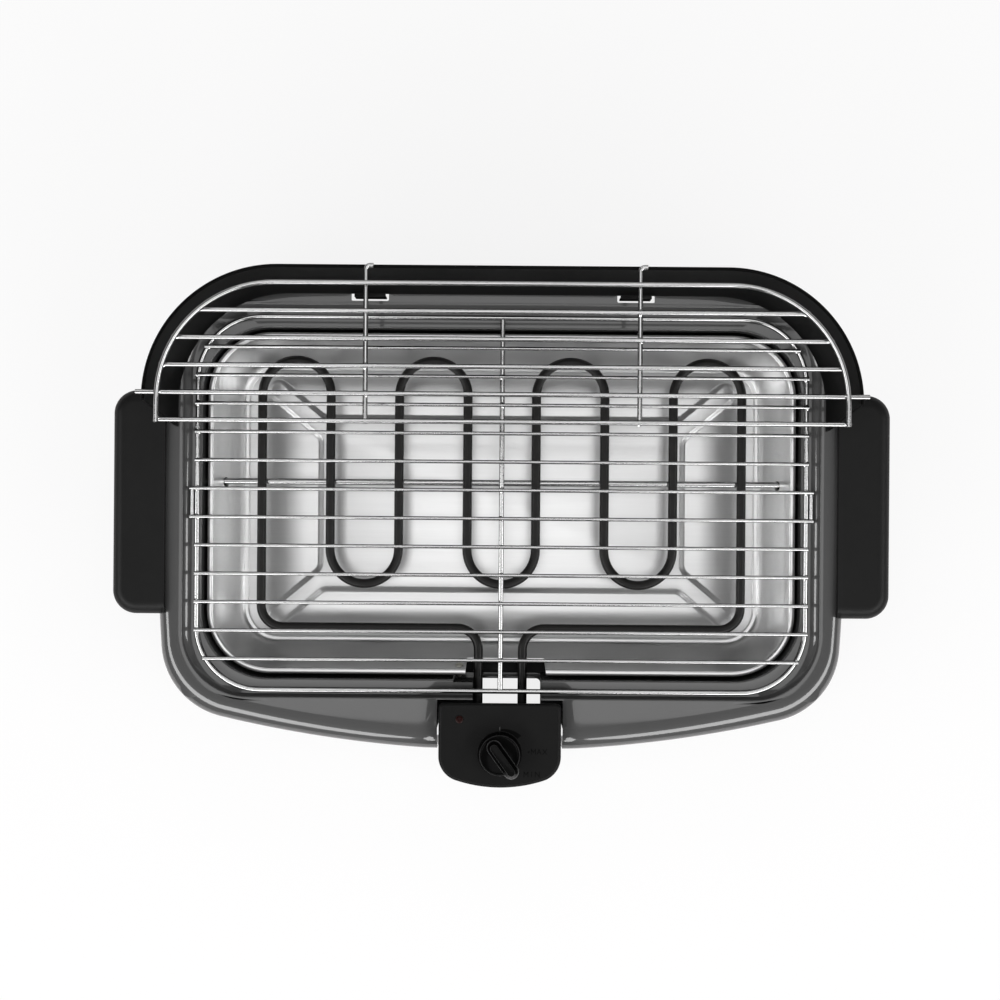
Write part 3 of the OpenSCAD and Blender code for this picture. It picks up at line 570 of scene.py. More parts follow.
def stand(name: str, data: bpy.types.ID) -> Piece:
    """Make an object from its data and link it to the scene."""
    made = bpy.data.objects.new(name, data)
    bpy.context.scene.collection.objects.link(made)
    return made


def soften(piece: Piece, angle: float) -> None:
    """Shade a piece smooth except along edges sharper than an angle in degrees."""
    piece.data.polygons.foreach_set("use_smooth", [True] * len(piece.data.polygons))
    piece.data.set_sharp_from_angle(angle=radians(angle))
    piece.data.update()


def sweep(name: str, rings: list[Ring], loop: bool = True, closed: bool = True,
          caps: bool = False, smooth_angle: float = 40.0) -> Piece:
    """Skin a list of rings.

    Args:
        name: the piece's name.
        rings: rings of equal length.
        loop: whether each ring joins its own ends.
        closed: whether the last ring joins the first.
        caps: whether the first and last ring are filled.
        smooth_angle: edges sharper than this stay crisp, in degrees.
    Returns:
        The object.
    """
    count = len(rings[0])
    verts = [v for ring in rings for v in ring]
    faces = []
    for i in range(len(rings) if closed else len(rings) - 1):
        j = (i + 1) % len(rings)
        for k in range(count if loop else count - 1):
            n = (k + 1) % count
            faces.append([i * count + k, i * count + n, j * count + n, j * count + k])
    if caps:
        faces.append(list(range(count))[::-1])
        faces.append([(len(rings) - 1) * count + k for k in range(count)])
    return make_mesh(name, verts, faces, smooth_angle)


def solid(name: str, rings: list[Ring], smooth_angle: float = 40.0) -> Piece:
    """Skin a list of rings and fill the first and the last."""
    return sweep(name, rings, closed=False, caps=True, smooth_angle=smooth_angle)


def block(name: str, low: Spot, high: Spot, bevel: float = 0.0) -> Piece:
    """Make a block between two corners, its edges rounded by a bevel width."""
    shape = bmesh.new()
    bmesh.ops.create_cube(shape, size=1.0)
    for v in shape.verts:
        v.co = Vector([(low[i] + high[i]) / 2 + v.co[i] * (high[i] - low[i]) for i in range(3)])
    if bevel:
        bmesh.ops.bevel(shape, geom=shape.edges, offset=bevel, segments=3, profile=0.5,
                        affect="EDGES")
    verts = [v.co.copy() for v in shape.verts]
    index = {v: i for i, v in enumerate(shape.verts)}
    faces = [[index[v] for v in f.verts] for f in shape.faces]
    shape.free()
    return make_mesh(name, verts, faces, 50.0)


def lathe(name: str, profile: list[Pair], centre: Pair, steps: int = 48) -> Piece:
    """Turn a profile of (radius, height) round an upright axis, closed at both ends."""
    rings = [[Vector((centre[0] + r * cos(2 * pi * k / steps),
                      centre[1] + r * sin(2 * pi * k / steps), z))
              for k in range(steps)] for r, z in profile]
    return solid(name, rings)


def fillet(depth: float, z: float, r: float, start: float, end: float,
           steps: int = 6) -> list[Pair]:
    """Return the (depth, height) points of a round about a centre, directions in degrees."""
    return [(depth - r * cos(radians(start + (end - start) * i / steps)),
             z + r * sin(radians(start + (end - start) * i / steps)))
            for i in range(steps + 1)]


def carve(piece: Piece, cutters: list[Piece], smooth_angle: float = 40.0) -> None:
    """Cut other shapes out of a piece and remove them.

    Args:
        piece: the piece that is cut.
        cutters: closed shapes.
        smooth_angle: edges sharper than this stay crisp, in degrees.
    """
    for cutter in cutters:
        change = piece.modifiers.new("cut", "BOOLEAN")
        change.operation = "DIFFERENCE"
        change.solver = "EXACT"
        change.object = cutter
    settle(piece)
    for cutter in cutters:
        bpy.data.objects.remove(cutter)
    soften(piece, smooth_angle)


def settle(piece: Piece) -> None:
    """Replace a piece's mesh by what its modifiers make of it."""
    graph = bpy.context.evaluated_depsgraph_get()
    result = bpy.data.meshes.new_from_object(piece.evaluated_get(graph))
    piece.modifiers.clear()
    piece.data = result


def merge(pieces: list[Piece], name: str) -> Piece:
    """Join several pieces into the first one under a name."""
    shape = bmesh.new()
    for piece in pieces:
        shape.from_mesh(piece.data)
    shape.to_mesh(pieces[0].data)
    shape.free()
    for piece in pieces[1:]:
        bpy.data.objects.remove(piece)
    pieces[0].name = name
    return pieces[0]


def fit(piece: Piece, finish: Finish, body: str, *nodes: str) -> Piece:
    """Dress a piece, seat it on its body and let it stand for CAD nodes.

    Args:
        piece: the new piece.
        finish: its surface.
        body: the body that carries it.
        nodes: CAD nodes that it stands for.
    Returns:
        The piece.
    """
    piece.data.materials.clear()
    piece.data.materials.append(finish.material())
    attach(piece, body)
    if nodes:
        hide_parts(*nodes)
    log.info("%s: %d faces, rides on %s", piece.name, len(piece.data.polygons), body)
    return piece


def dress(node: str, finish: Finish) -> None:
    """Give a CAD node its finish and leave its shape alone."""
    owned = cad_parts[node]
    if not owned.material_slots:
        owned.data.materials.append(finish.material())
    for place in owned.material_slots:
        place.material = finish.material()
    log.info("%s: dressed in %s", node, finish.slot)


# ---------------------------------------------------------------- sub-assemblies


@dataclass
class Moulding:
    """Plan and section of the base moulding: skirt, deck, stepped well, webs and foot posts."""

    half_width: float = 221.5
    front: float = 158.5
    rear: float = 150.0
    corner: float = 50.0
    front_bow: float = 793.0
    rear_bow: float = 1200.0
    side_bow: float = 1400.0
    lift: float = 6.0
    flare: float = 2.0
    shoulder: float = 10.0
    front_reach: float = 15.0
    wall: float = 2.5
    well: Spot = (407.0, 250.5, 42.0)
    well_y: float = 15.4
    shelf_z: float = 71.1
    low: Spot = (385.0, 225.5, 43.0)
    ledge_z: float = 19.0
    ledge_reach: float = 12.0
    edge: float = 1.1
    slope: Pair = (1.6, 4.6)
    notch_x: float = 40.3
    notch_y: float = -111.2
    notch_z: float = 22.0
    slot_x: float = 85.0
    slot_half: float = 12.0
    slot_y: Pair = (143.6, 148.6)
    window: tuple[Pair, ...] = ((-17.6, -122.8), (27.0, -102.85))
    legs: Pair = (-17.6, 26.4)
    legs_y: float = -117.0
    relief: Pair = (-30.5, -10.0)
    relief_z: float = 24.0
    front_webs: tuple[float, ...] = (-145.0, -90.0, 90.0, 145.0)
    rear_webs: tuple[float, ...] = (-130.0, -40.0, 40.0, 130.0)
    web_foot: float = 36.0
    inset: float = 1.2
    stay_y: Pair = (-130.0, -109.9)
    apron_y: float = -126.0
    post_out: float = 29.0
    post_r: float = 7.0
    dip: float = 2.4
    dip_w: float = 13.0
    fine: Fineness = field(default_factory=lambda: Fineness(20, 88, 30))

    def corner_centre(self, bow: Pair, radius: float, rear: bool) -> Pair:
        """Find the centre of a corner arc that is tangent inside a bow and the side.

        Args:
            bow: centre of the front or rear bow.
            radius: radius of that bow.
            rear: whether it is the rear corner.
        Returns:
            The centre of the right-hand corner arc.
        """
        side_x = self.half_width - self.side_bow
        a, b = radius - self.corner, self.side_bow - self.corner
        vx, vy = side_x - bow[0], -bow[1]
        d = hypot(vx, vy)
        t = (a * a - b * b + d * d) / (2 * d)
        h = sqrt(a * a - t * t) * (-1 if rear else 1)
        return (bow[0] + vx * t / d - vy * h / d, bow[1] + vy * t / d + vx * h / d)

    def bows(self) -> tuple[Pair, ...]:
        """Return the centres of the front, rear and side bows and of the two right corners."""
        front_c, rear_c = (0.0, self.front_bow - self.front), (0.0, self.rear - self.rear_bow)
        return (front_c, rear_c, (self.half_width - self.side_bow, 0.0),
                self.corner_centre(front_c, self.front_bow, False),
                self.corner_centre(rear_c, self.rear_bow, True))

    def outline(self) -> Contour:
        """Return the outer contour at the deck, made of four bows and four corner arcs."""
        front_c, rear_c, side_c, front_k, rear_k = self.bows()

        def way(a: Pair, b: Pair) -> float:
            """Return the direction from one point to another in degrees."""
            return degrees(atan2(b[1] - a[1], b[0] - a[0]))

        front_a, rear_a = way(front_c, front_k), way(rear_c, rear_k)
        low, high = way(side_c, front_k), way(side_c, rear_k)
        f = self.fine
        points = arc(rear_k, self.corner, high, rear_a, f.corner)
        points += arc(rear_c, self.rear_bow, rear_a, 180 - rear_a, f.long, False)
        points += arc((-rear_k[0], rear_k[1]), self.corner, 180 - rear_a, 180 - high, f.corner)
        points += arc((-side_c[0], 0), self.side_bow, 180 - high, 180 - low, f.short, False)
        points += arc((-front_k[0], front_k[1]), self.corner, 180 - low, 180 - front_a, f.corner)
        points += arc(front_c, self.front_bow, -180 - front_a, front_a, f.long, False)
        points += arc(front_k, self.corner, front_a, low, f.corner)
        points += arc(side_c, self.side_bow, low, high, f.short, False)
        return Contour([PlanPoint(p.x, p.y + MID_Y, p.nx, p.ny) for p in points])

    def reach(self, ny: float) -> float:
        """Return how far the shoulder's round reaches inward where the outline faces a way."""
        return self.shoulder + (self.front_reach - self.shoulder) * max(0.0, -ny)

    def shoulder_rings(self, outer: Contour, under: float, steps: int) -> list[Ring]:
        """Return the rings of the shoulder's round from the side up to the deck.

        Args:
            outer: the outer contour.
            under: how far the rings lie under the outer face.
            steps: number of equal steps.
        Returns:
            The rings.
        """
        foot = DECK_Z - self.shoulder
        rings = []
        for i in range(steps + 1):
            a = radians(90 * i / steps)
            rings.append([p.inward(self.reach(p.ny) - (self.reach(p.ny) - under) * cos(a),
                                   foot + (self.shoulder - under) * sin(a))
                          for p in outer.points])
        return rings

    def recess_rings(self, well: Contour) -> list[Ring]:
        """Return the rings of the recess wall, whose slope is wider along the sides."""
        rings = []
        for share, height in ((0.0, 0.74), (0.18, 0.5), (0.42, 0.27), (0.7, 0.09), (1.0, 0.0)):
            rings.append([p.inward(0.05 + share * (self.slope[0] + self.slope[1] * abs(p.nx) ** 2),
                                   self.shelf_z + height * (DECK_Z - self.shelf_z))
                          for p in well.points])
        return rings

    def sink(self, shell: Piece) -> None:
        """Let the deck fall away gently towards both sides of the notch."""
        for v in shell.data.vertices:
            x, y, z = (c / MM for c in v.co)
            gap = (self.notch_x + self.dip_w - abs(x)) / self.dip_w
            if y < self.notch_y + 6 and z > 60 and gap > 0:
                v.co.z -= self.dip * min(1.0, gap) ** 2 * MM

    def shell(self) -> Piece:
        """Make the moulding as one closed section swept round its contours."""
        outer = self.outline()
        well = rounded_rectangle(*self.well, self.well_y, fine=self.fine)
        low = rounded_rectangle(*self.low, fine=self.fine)
        top, wall, r, edge = DECK_Z, self.wall, self.shoulder, self.edge
        shelf, ledge, reach = self.shelf_z, self.ledge_z, self.ledge_reach
        rings = [outer.ring(d - self.flare, z) for d, z in (
            (wall, self.lift + 0.6), (wall - 0.7, self.lift), (0.7, self.lift),
            (0.0, self.lift + 0.8), (0.08, self.lift + 3))]
        rings.append(outer.ring(0.1, top - r - 2))
        rings += self.shoulder_rings(outer, 0.0, 14)
        rings += [well.ring(-edge - 1.5, top)]
        rings += [well.ring(d, z) for d, z in fillet(-edge, top - edge, edge, 90, 180)]
        rings += self.recess_rings(well)
        rings += [low.ring(d, z) for d, z in fillet(-edge, shelf - edge, edge, 90, 180)]
        rings += [low.ring(d, z) for d, z in (
            (0.02, shelf - 3), (0.1, ledge + 4), (0.4, ledge + 1.2), (1.6, ledge),
            (reach - 0.6, ledge), (reach, ledge - 0.6), (reach, ledge - wall + 0.5),
            (reach - 0.5, ledge - wall), (-wall + 1, ledge - wall), (-wall, ledge - wall + 1),
            (-wall, shelf - wall - 1), (-wall - 1, shelf - wall))]
        rings += [well.ring(d, z) for d, z in ((-wall + 1, shelf - wall), (-wall, shelf - wall + 1),
                                               (-wall, top - wall - 0.6),
                                               (-wall - 0.6, top - wall))]
        rings += reversed(self.shoulder_rings(outer, wall, 8))
        made = sweep("base_moulding", rings)
        self.sink(made)
        return made

    def web(self, x: float, rear: bool) -> Piece:
        """Make an upright web between the skirt and the lower wall of the well.

        Args:
            x: its middle along X.
            rear: whether it stands at the rear.
        Returns:
            The web, drawn in a little from the outer faces.
        """
        bow, reach = (self.rear_bow, self.rear) if rear else (self.front_bow, self.front)
        skirt = reach - bow + sqrt(bow * bow - (abs(x) + 1) ** 2) - self.inset
        low_wall = self.low[1] / 2 + self.wall / 2
        well_wall = self.well[1] / 2 + (1 if rear else -1) * (self.well_y - MID_Y) + self.wall / 2
        top, r, shelf = (v - self.inset for v in (DECK_Z, self.shoulder, self.shelf_z))
        wide = self.reach(1.0 if rear else -1.0) - 0.6
        line = [(low_wall, self.web_foot), (skirt, self.web_foot)]
        line += [(skirt - wide + wide * cos(radians(a)),
                  top - r + r * sin(radians(a))) for a in range(0, 91, 15)]
        line += [(well_wall, top), (well_wall, shelf), (low_wall, shelf)]
        way = 1 if rear else -1
        rings = [[Vector((x + s, MID_Y + way * y, z)) for y, z in line] for s in (-1.0, 1.0)]
        return solid("base_web", rings)

    def stays(self) -> list[Piece]:
        """Make the webs, the foot posts, the walls beside the notch and the apron."""
        wall, ledge = self.wall, self.ledge_z
        low_y = MID_Y - self.low[1] / 2
        made = [self.web(x, False) for x in self.front_webs]
        made += [self.web(x, True) for x in self.rear_webs]
        made += [lathe("foot_post", [(2.0, DECK_Z - 1.5), (self.post_r, DECK_Z - 1.5),
                                     (self.post_r, self.lift), (3.2, self.lift), (3.2, 16.0),
                                     (2.0, 16.0)], place, 40) for place in self.foot_places()]
        for x in (-self.notch_x - wall, self.notch_x):
            made.append(block("notch_wall", (x, self.stay_y[0], ledge - wall),
                              (x + wall, self.stay_y[1], DECK_Z - self.dip - self.inset), 0.3))
        made.append(block("apron", (-self.notch_x - wall, self.apron_y, ledge - wall),
                          (self.notch_x + wall, low_y - wall / 2, ledge), 0.3))
        return made

    def foot_places(self) -> list[Pair]:
        """Return the four plan places of the feet."""
        return [(x * (centre[0] + self.post_out), centre[1] + MID_Y + y * self.post_out)
                for centre, y in zip(self.bows()[3:], (-1, 1)) for x in (-1, 1)]

    def build(self) -> None:
        """Make the moulding with its openings, and dress it."""
        shell = self.shell()
        stays = self.stays()
        low_y = MID_Y - self.low[1] / 2
        above = 90.0
        notch = block("cut_notch", (-self.notch_x, -200.0, self.notch_z),
                      (self.notch_x, self.notch_y, above))
        legs = block("cut_legs", (self.legs[0], self.legs_y, self.relief_z),
                     (self.legs[1], low_y + 1.5, above))
        relief = rounded_prism("cut_relief", (self.relief[0], low_y - 1.6),
                               (self.relief[1], low_y + 2.5), 0.8, self.relief_z, above)
        slots = [rounded_prism("cut_slot", (x - self.slot_half, self.slot_y[0]),
                               (x + self.slot_half, self.slot_y[1]), 1.0, 60.0, above)
                 for x in (-self.slot_x, self.slot_x)]
        carve(shell, [notch, legs, relief, *slots])
        carve(stays[-1], [rounded_prism("cut_window", *self.window, 3.0, 10.0, 30.0)])
        fit(merge([shell, *stays], "base_moulding"), BASE_GREY, "base", "base_shell")


def rounded_prism(name: str, low: Pair, high: Pair, r: float, foot: float, top: float) -> Piece:
    """Make an upright prism over a rounded rectangle between two plan corners."""
    outline = rounded_rectangle(high[0] - low[0], high[1] - low[1], r, (low[1] + high[1]) / 2,
                                (low[0] + high[0]) / 2, Fineness(6, 2, 2))
    return solid(name, [outline.ring(0, foot), outline.ring(0, top)])


@dataclass
class DripTray:
    """Pressed tray with a rolled rim and a raised panel that has four diagonal arms."""

    size: Pair = (379.0, 219.5)
    corner: float = 40.0
    rim_z: float = 60.0
    floor_z: float = 19.8
    slope: float = 17.0
    sheet: float = 1.0
    rim_r: float = 1.5
    panel: Pair = (121.0, 57.5)
    arm_foot: Pair = (123.0, 53.0)
    arm_end: Pair = (154.6, 79.2)
    arm_half: float = 6.0
    rise: float = 1.8
    ramp: float = 2.1
    elbow: float = 8.0
    notch: tuple[Pair, ...] = ((-23.8, -106.0), (30.8, -106.0), (28.2, -82.0),
                                              (-21.2, -82.0))
    notch_z: float = 44.0
    rod_at: Spot = (184.0, 27.4, 44.7)
    rod_r: float = 3.2
    fine: Fineness = field(default_factory=lambda: Fineness(18, 50, 30))

    def wall_line(self, thick: float) -> list[Pair]:
        """Return the (depth, height) line of the wall and its foot, moved in by a thickness."""
        run = self.slope
        rise = self.rim_z - self.floor_z
        points = []
        for i in range(9):
            t = i / 8
            points.append((t * run * 0.9, self.rim_z - t * rise * 0.9))
        foot = [(run * a, self.floor_z + h) for a, h in (
            (0.935, rise * 0.058), (0.97, rise * 0.028), (1.01, rise * 0.01), (1.06, 0.12),
            (1.12, 0.0))]
        lift = thick * 0.93
        return [(d + lift * 0.9, z + lift * 0.38) for d, z in points] + [
            (d + lift * (0.6 - i * 0.12), z + lift * (0.6 + i * 0.1))
            for i, (d, z) in enumerate(foot)]

    def floor_rings(self, plan: Contour, lift: float, crease: float) -> list[Ring]:
        """Return the rings of the floor from the wall's foot to the middle.

        Args:
            plan: the tray's outer contour.
            lift: height above the underside.
            crease: depth of the fine line round the floor.
        Returns:
            The rings.
        """
        z = self.floor_z + lift
        rings = [plan.ring(self.slope * 1.17, z), plan.ring(self.slope * 1.21, z - crease),
                 plan.ring(self.slope * 1.25, z)]
        w, d = self.size
        for t in (0.78, 0.5, 0.2, 0.03):
            rings.append(rounded_rectangle((w - 43) * t, (d - 43) * t, 12 * t,
                                           fine=self.fine).ring(0, z))
        return rings

    def raised_panel(self) -> Piece:
        """Make the raised panel of the floor with its four arms and sloping edges."""
        along = (Vector(self.arm_end) - Vector(self.arm_foot)).normalized()
        across = Vector((along.y, -along.x)) * self.arm_half
        end = Vector(self.arm_end)
        low = Vector(self.arm_foot) + across
        low -= along * ((low.x - self.panel[0]) / along.x)
        high = Vector(self.arm_foot) - across
        high -= along * ((high.y - self.panel[1]) / along.y)
        quarter = [(low, self.elbow), (end + across, self.arm_half - 0.1),
                   (end - across, self.arm_half - 0.1), (high, self.elbow)]
        corners = []
        for sx, sy in ((1, 1), (-1, 1), (-1, -1), (1, -1)):
            part = [(Vector((v.x * sx, v.y * sy + MID_Y)), r) for v, r in quarter]
            corners += part if sx * sy > 0 else part[::-1]
        plan = rounded_polygon(corners)
        z = self.floor_z + self.sheet
        rings = [plan.ring(u * self.ramp, z + self.rise * (0.5 + 0.5 * sin(u * pi / 2)))
                 for u in (-1.0, -0.8, -0.5, 0.0, 0.5, 0.8, 1.0)]
        return solid("tray_panel", [plan.ring(-self.ramp, z - 0.4), *rings])

    def pan(self) -> Piece:
        """Make the sheet with its rolled rim as one closed skin."""
        plan = rounded_rectangle(*self.size, self.corner, fine=self.fine)
        curl = [plan.ring(1.0 - self.rim_r * (1.35 * c - 0.03 if c < 0 else c * 1.33),
                          self.rim_z + self.rim_r * copysign(abs(h) ** 0.6, h))
                for c, h in ((cos(radians(a)), sin(radians(a)))
                             for a in range(-80, 181, 20))]
        inside = [plan.ring(d + 1.4 * (1 - i / 13), z)
                  for i, (d, z) in enumerate(self.wall_line(self.sheet))]
        outside = [plan.ring(d, z) for d, z in self.wall_line(0.0)]
        top = curl + inside[1:] + self.floor_rings(plan, self.sheet, 0.45)
        under = outside[1:] + self.floor_rings(plan, 0.0, 0.0)
        return solid("tray_pan", top[::-1] + under)

    def build(self) -> None:
        """Make the tray, cut its notch and rod holes, and raise the panel of its floor."""
        pan = self.pan()
        notch = solid("cut_tray_notch", [[Vector((x, y, z)) for x, y in self.notch]
                                         for z in (self.notch_z, 70.0)])
        x, y, z = self.rod_at
        rods = [bar("cut_rod", (way * x, y, z), self.rod_r, 16.0, True) for way in (-1, 1)]
        carve(pan, [notch, *rods])
        fit(merge([pan, self.raised_panel()], "tray_pan"), TRAY_STEEL, "tray", "drip_tray")


def rounded_polygon(corners: list[tuple[Vector, float]], steps: int = 8) -> Contour:
    """Round the corners of a plan polygon.

    Args:
        corners: its corners anticlockwise, each with its radius.
        steps: equal steps along each round.
    Returns:
        The contour, outward at convex and hollow corners alike.
    """
    points = []
    count = len(corners)
    for i, (at, r) in enumerate(corners):
        before = (corners[i - 1][0] - at).normalized()
        after = (corners[(i + 1) % count][0] - at).normalized()
        half = acos(max(-1.0, min(1.0, before.dot(after)))) / 2
        centre = at + (before + after).normalized() * (r / sin(half))
        convex = before.cross(after) < 0
        first = at + before * (r / tan(half)) - centre
        last = at + after * (r / tan(half)) - centre
        start = atan2(first.y, first.x)
        turn = (atan2(last.y, last.x) - start + pi) % (2 * pi) - pi
        for k in range(steps + 1):
            a = start + turn * k / steps
            way = 1 if convex else -1
            points.append(PlanPoint(centre.x + r * cos(a), centre.y + r * sin(a),
                                    way * cos(a), way * sin(a)))
    return Contour(points)


def bar(name: str, at: Spot, r: float, length: float, along_x: bool) -> Piece:
    """Make a round bar about a middle point, along X or else along Y."""
    rings = []
    for reach in (-length / 2, length / 2):
        ring = []
        for k in range(24):
            a = 2 * pi * k / 24
            x, y = (reach, r * cos(a)) if along_x else (r * cos(a), reach)
            ring.append(Vector((at[0] + x, at[1] + y, at[2] + r * sin(a))))
        rings.append(ring)
    return solid(name, rings)


@dataclass
class WindShield:
    """Sheet shield with a hemmed top edge, low arms and two tabs."""

    width: float = 416.0
    rear_y: float = 149.15
    corner: float = 72.0
    sheet: float = 1.2
    lean: float = 9.0
    tall: float = 67.3
    rear_tall: float = 64.6
    foot_y: float = 62.15
    top_y: float = 76.15
    hem: float = 1.1
    rows: int = 14
    tab_x: float = 85.0
    tab_half: float = 10.0
    tab_drop: float = 12.0

    def crest(self, y: float) -> float:
        """Return the height of the top edge above the deck at a place front to rear."""
        t = min(1.0, max(0.0, (y - self.top_y) / (self.rear_y - self.top_y)))
        return self.tall + (self.rear_tall - self.tall) * t - self.hem

    def trace(self, share: float) -> list[PlanPoint]:
        """Return the plan line at a share of the height, from the right arm's front to the left's.

        Args:
            share: 0 at the foot and 1 at the top edge.
        Returns:
            The points in order.
        """
        front = self.foot_y + (self.top_y - self.foot_y) * share
        bend_y = self.rear_y - self.corner
        x, cx = self.width / 2, self.width / 2 - self.corner
        steps = 8
        line = [PlanPoint(x, front + (bend_y - front) * i / steps, 1, 0) for i in range(steps)]
        line += arc((cx, bend_y), self.corner, 0, 90, 36)
        line += [PlanPoint(cx - 2 * cx * i / 40, self.rear_y, 0, 1) for i in range(1, 40)]
        line += arc((-cx, bend_y), self.corner, 90, 180, 36)
        line += [PlanPoint(-x, bend_y - (bend_y - front) * i / steps, -1, 0)
                 for i in range(1, steps + 1)]
        return line

    def place(self, point: PlanPoint, share: float, depth: float) -> Vector:
        """Return a place on the leaning sheet at a share of its height and a depth inward."""
        height = share * self.crest(point.y)
        return point.inward(depth - self.lean * height / self.tall, DECK_Z + height)

    def build(self) -> None:
        """Make the sheet, its hem and its tabs, and dress them."""
        inner, outer = ([[self.place(p, i / self.rows, depth) for p in self.trace(i / self.rows)]
                         for i in range(self.rows + 1)] for depth in (self.sheet, 0.0))
        count = len(inner[0])
        sheet = sweep("shield_sheet", inner + outer[::-1], loop=False, closed=True)
        shape = bmesh.new()
        shape.from_mesh(sheet.data)
        bmesh.ops.holes_fill(shape, edges=[e for e in shape.edges if e.is_boundary], sides=0)
        bmesh.ops.recalc_face_normals(shape, faces=shape.faces)
        shape.to_mesh(sheet.data)
        shape.free()
        soften(sheet, 40)
        hem = tube("shield_hem", [self.place(p, 1.0, self.sheet / 2) for p in self.trace(1.0)],
                   self.hem)
        edges = [tube("shield_edge", [self.place(self.trace(i / 12)[k], i / 12, self.sheet / 2)
                                      for i in range(1, 13)], 0.8) for k in (0, count - 1)]
        tabs = []
        for x in (-self.tab_x, self.tab_x):
            for low, out, high in ((0.0, 0.0, 1.2), (self.tab_drop, 2.0, 1.0)):
                tabs.append(block("shield_tab",
                                  (x - self.tab_half, self.rear_y - 3.2, DECK_Z - low),
                                  (x + self.tab_half, self.rear_y - out, DECK_Z + high), 0.3))
        fit(merge([sheet, hem, *edges, *tabs], "shield_sheet"), SHIELD_BLACK, "shield",
            "wind_shield")


def tube(name: str, line: list[Vector], r: float, steps: int = 12, loop: bool = False) -> Piece:
    """Make a round bar along a line of points.

    Args:
        name: the piece's name.
        line: the middle line.
        r: the bar's radius.
        steps: points round the bar.
        loop: whether the line closes on itself.
    Returns:
        The bar, closed at its ends.
    """
    rings = []
    side_way = Vector((0, 0, 1))
    count = len(line)
    for i, place in enumerate(line):
        before = line[i - 1] if i or loop else place
        after = line[(i + 1) % count] if i < count - 1 or loop else place
        along = (after - before).normalized()
        side_way = (side_way - along * side_way.dot(along)).normalized()
        other = along.cross(side_way)
        rings.append([place + side_way * (r * cos(2 * pi * k / steps))
                      + other * (r * sin(2 * pi * k / steps)) for k in range(steps)])
    return sweep(name, rings, closed=loop, caps=not loop)


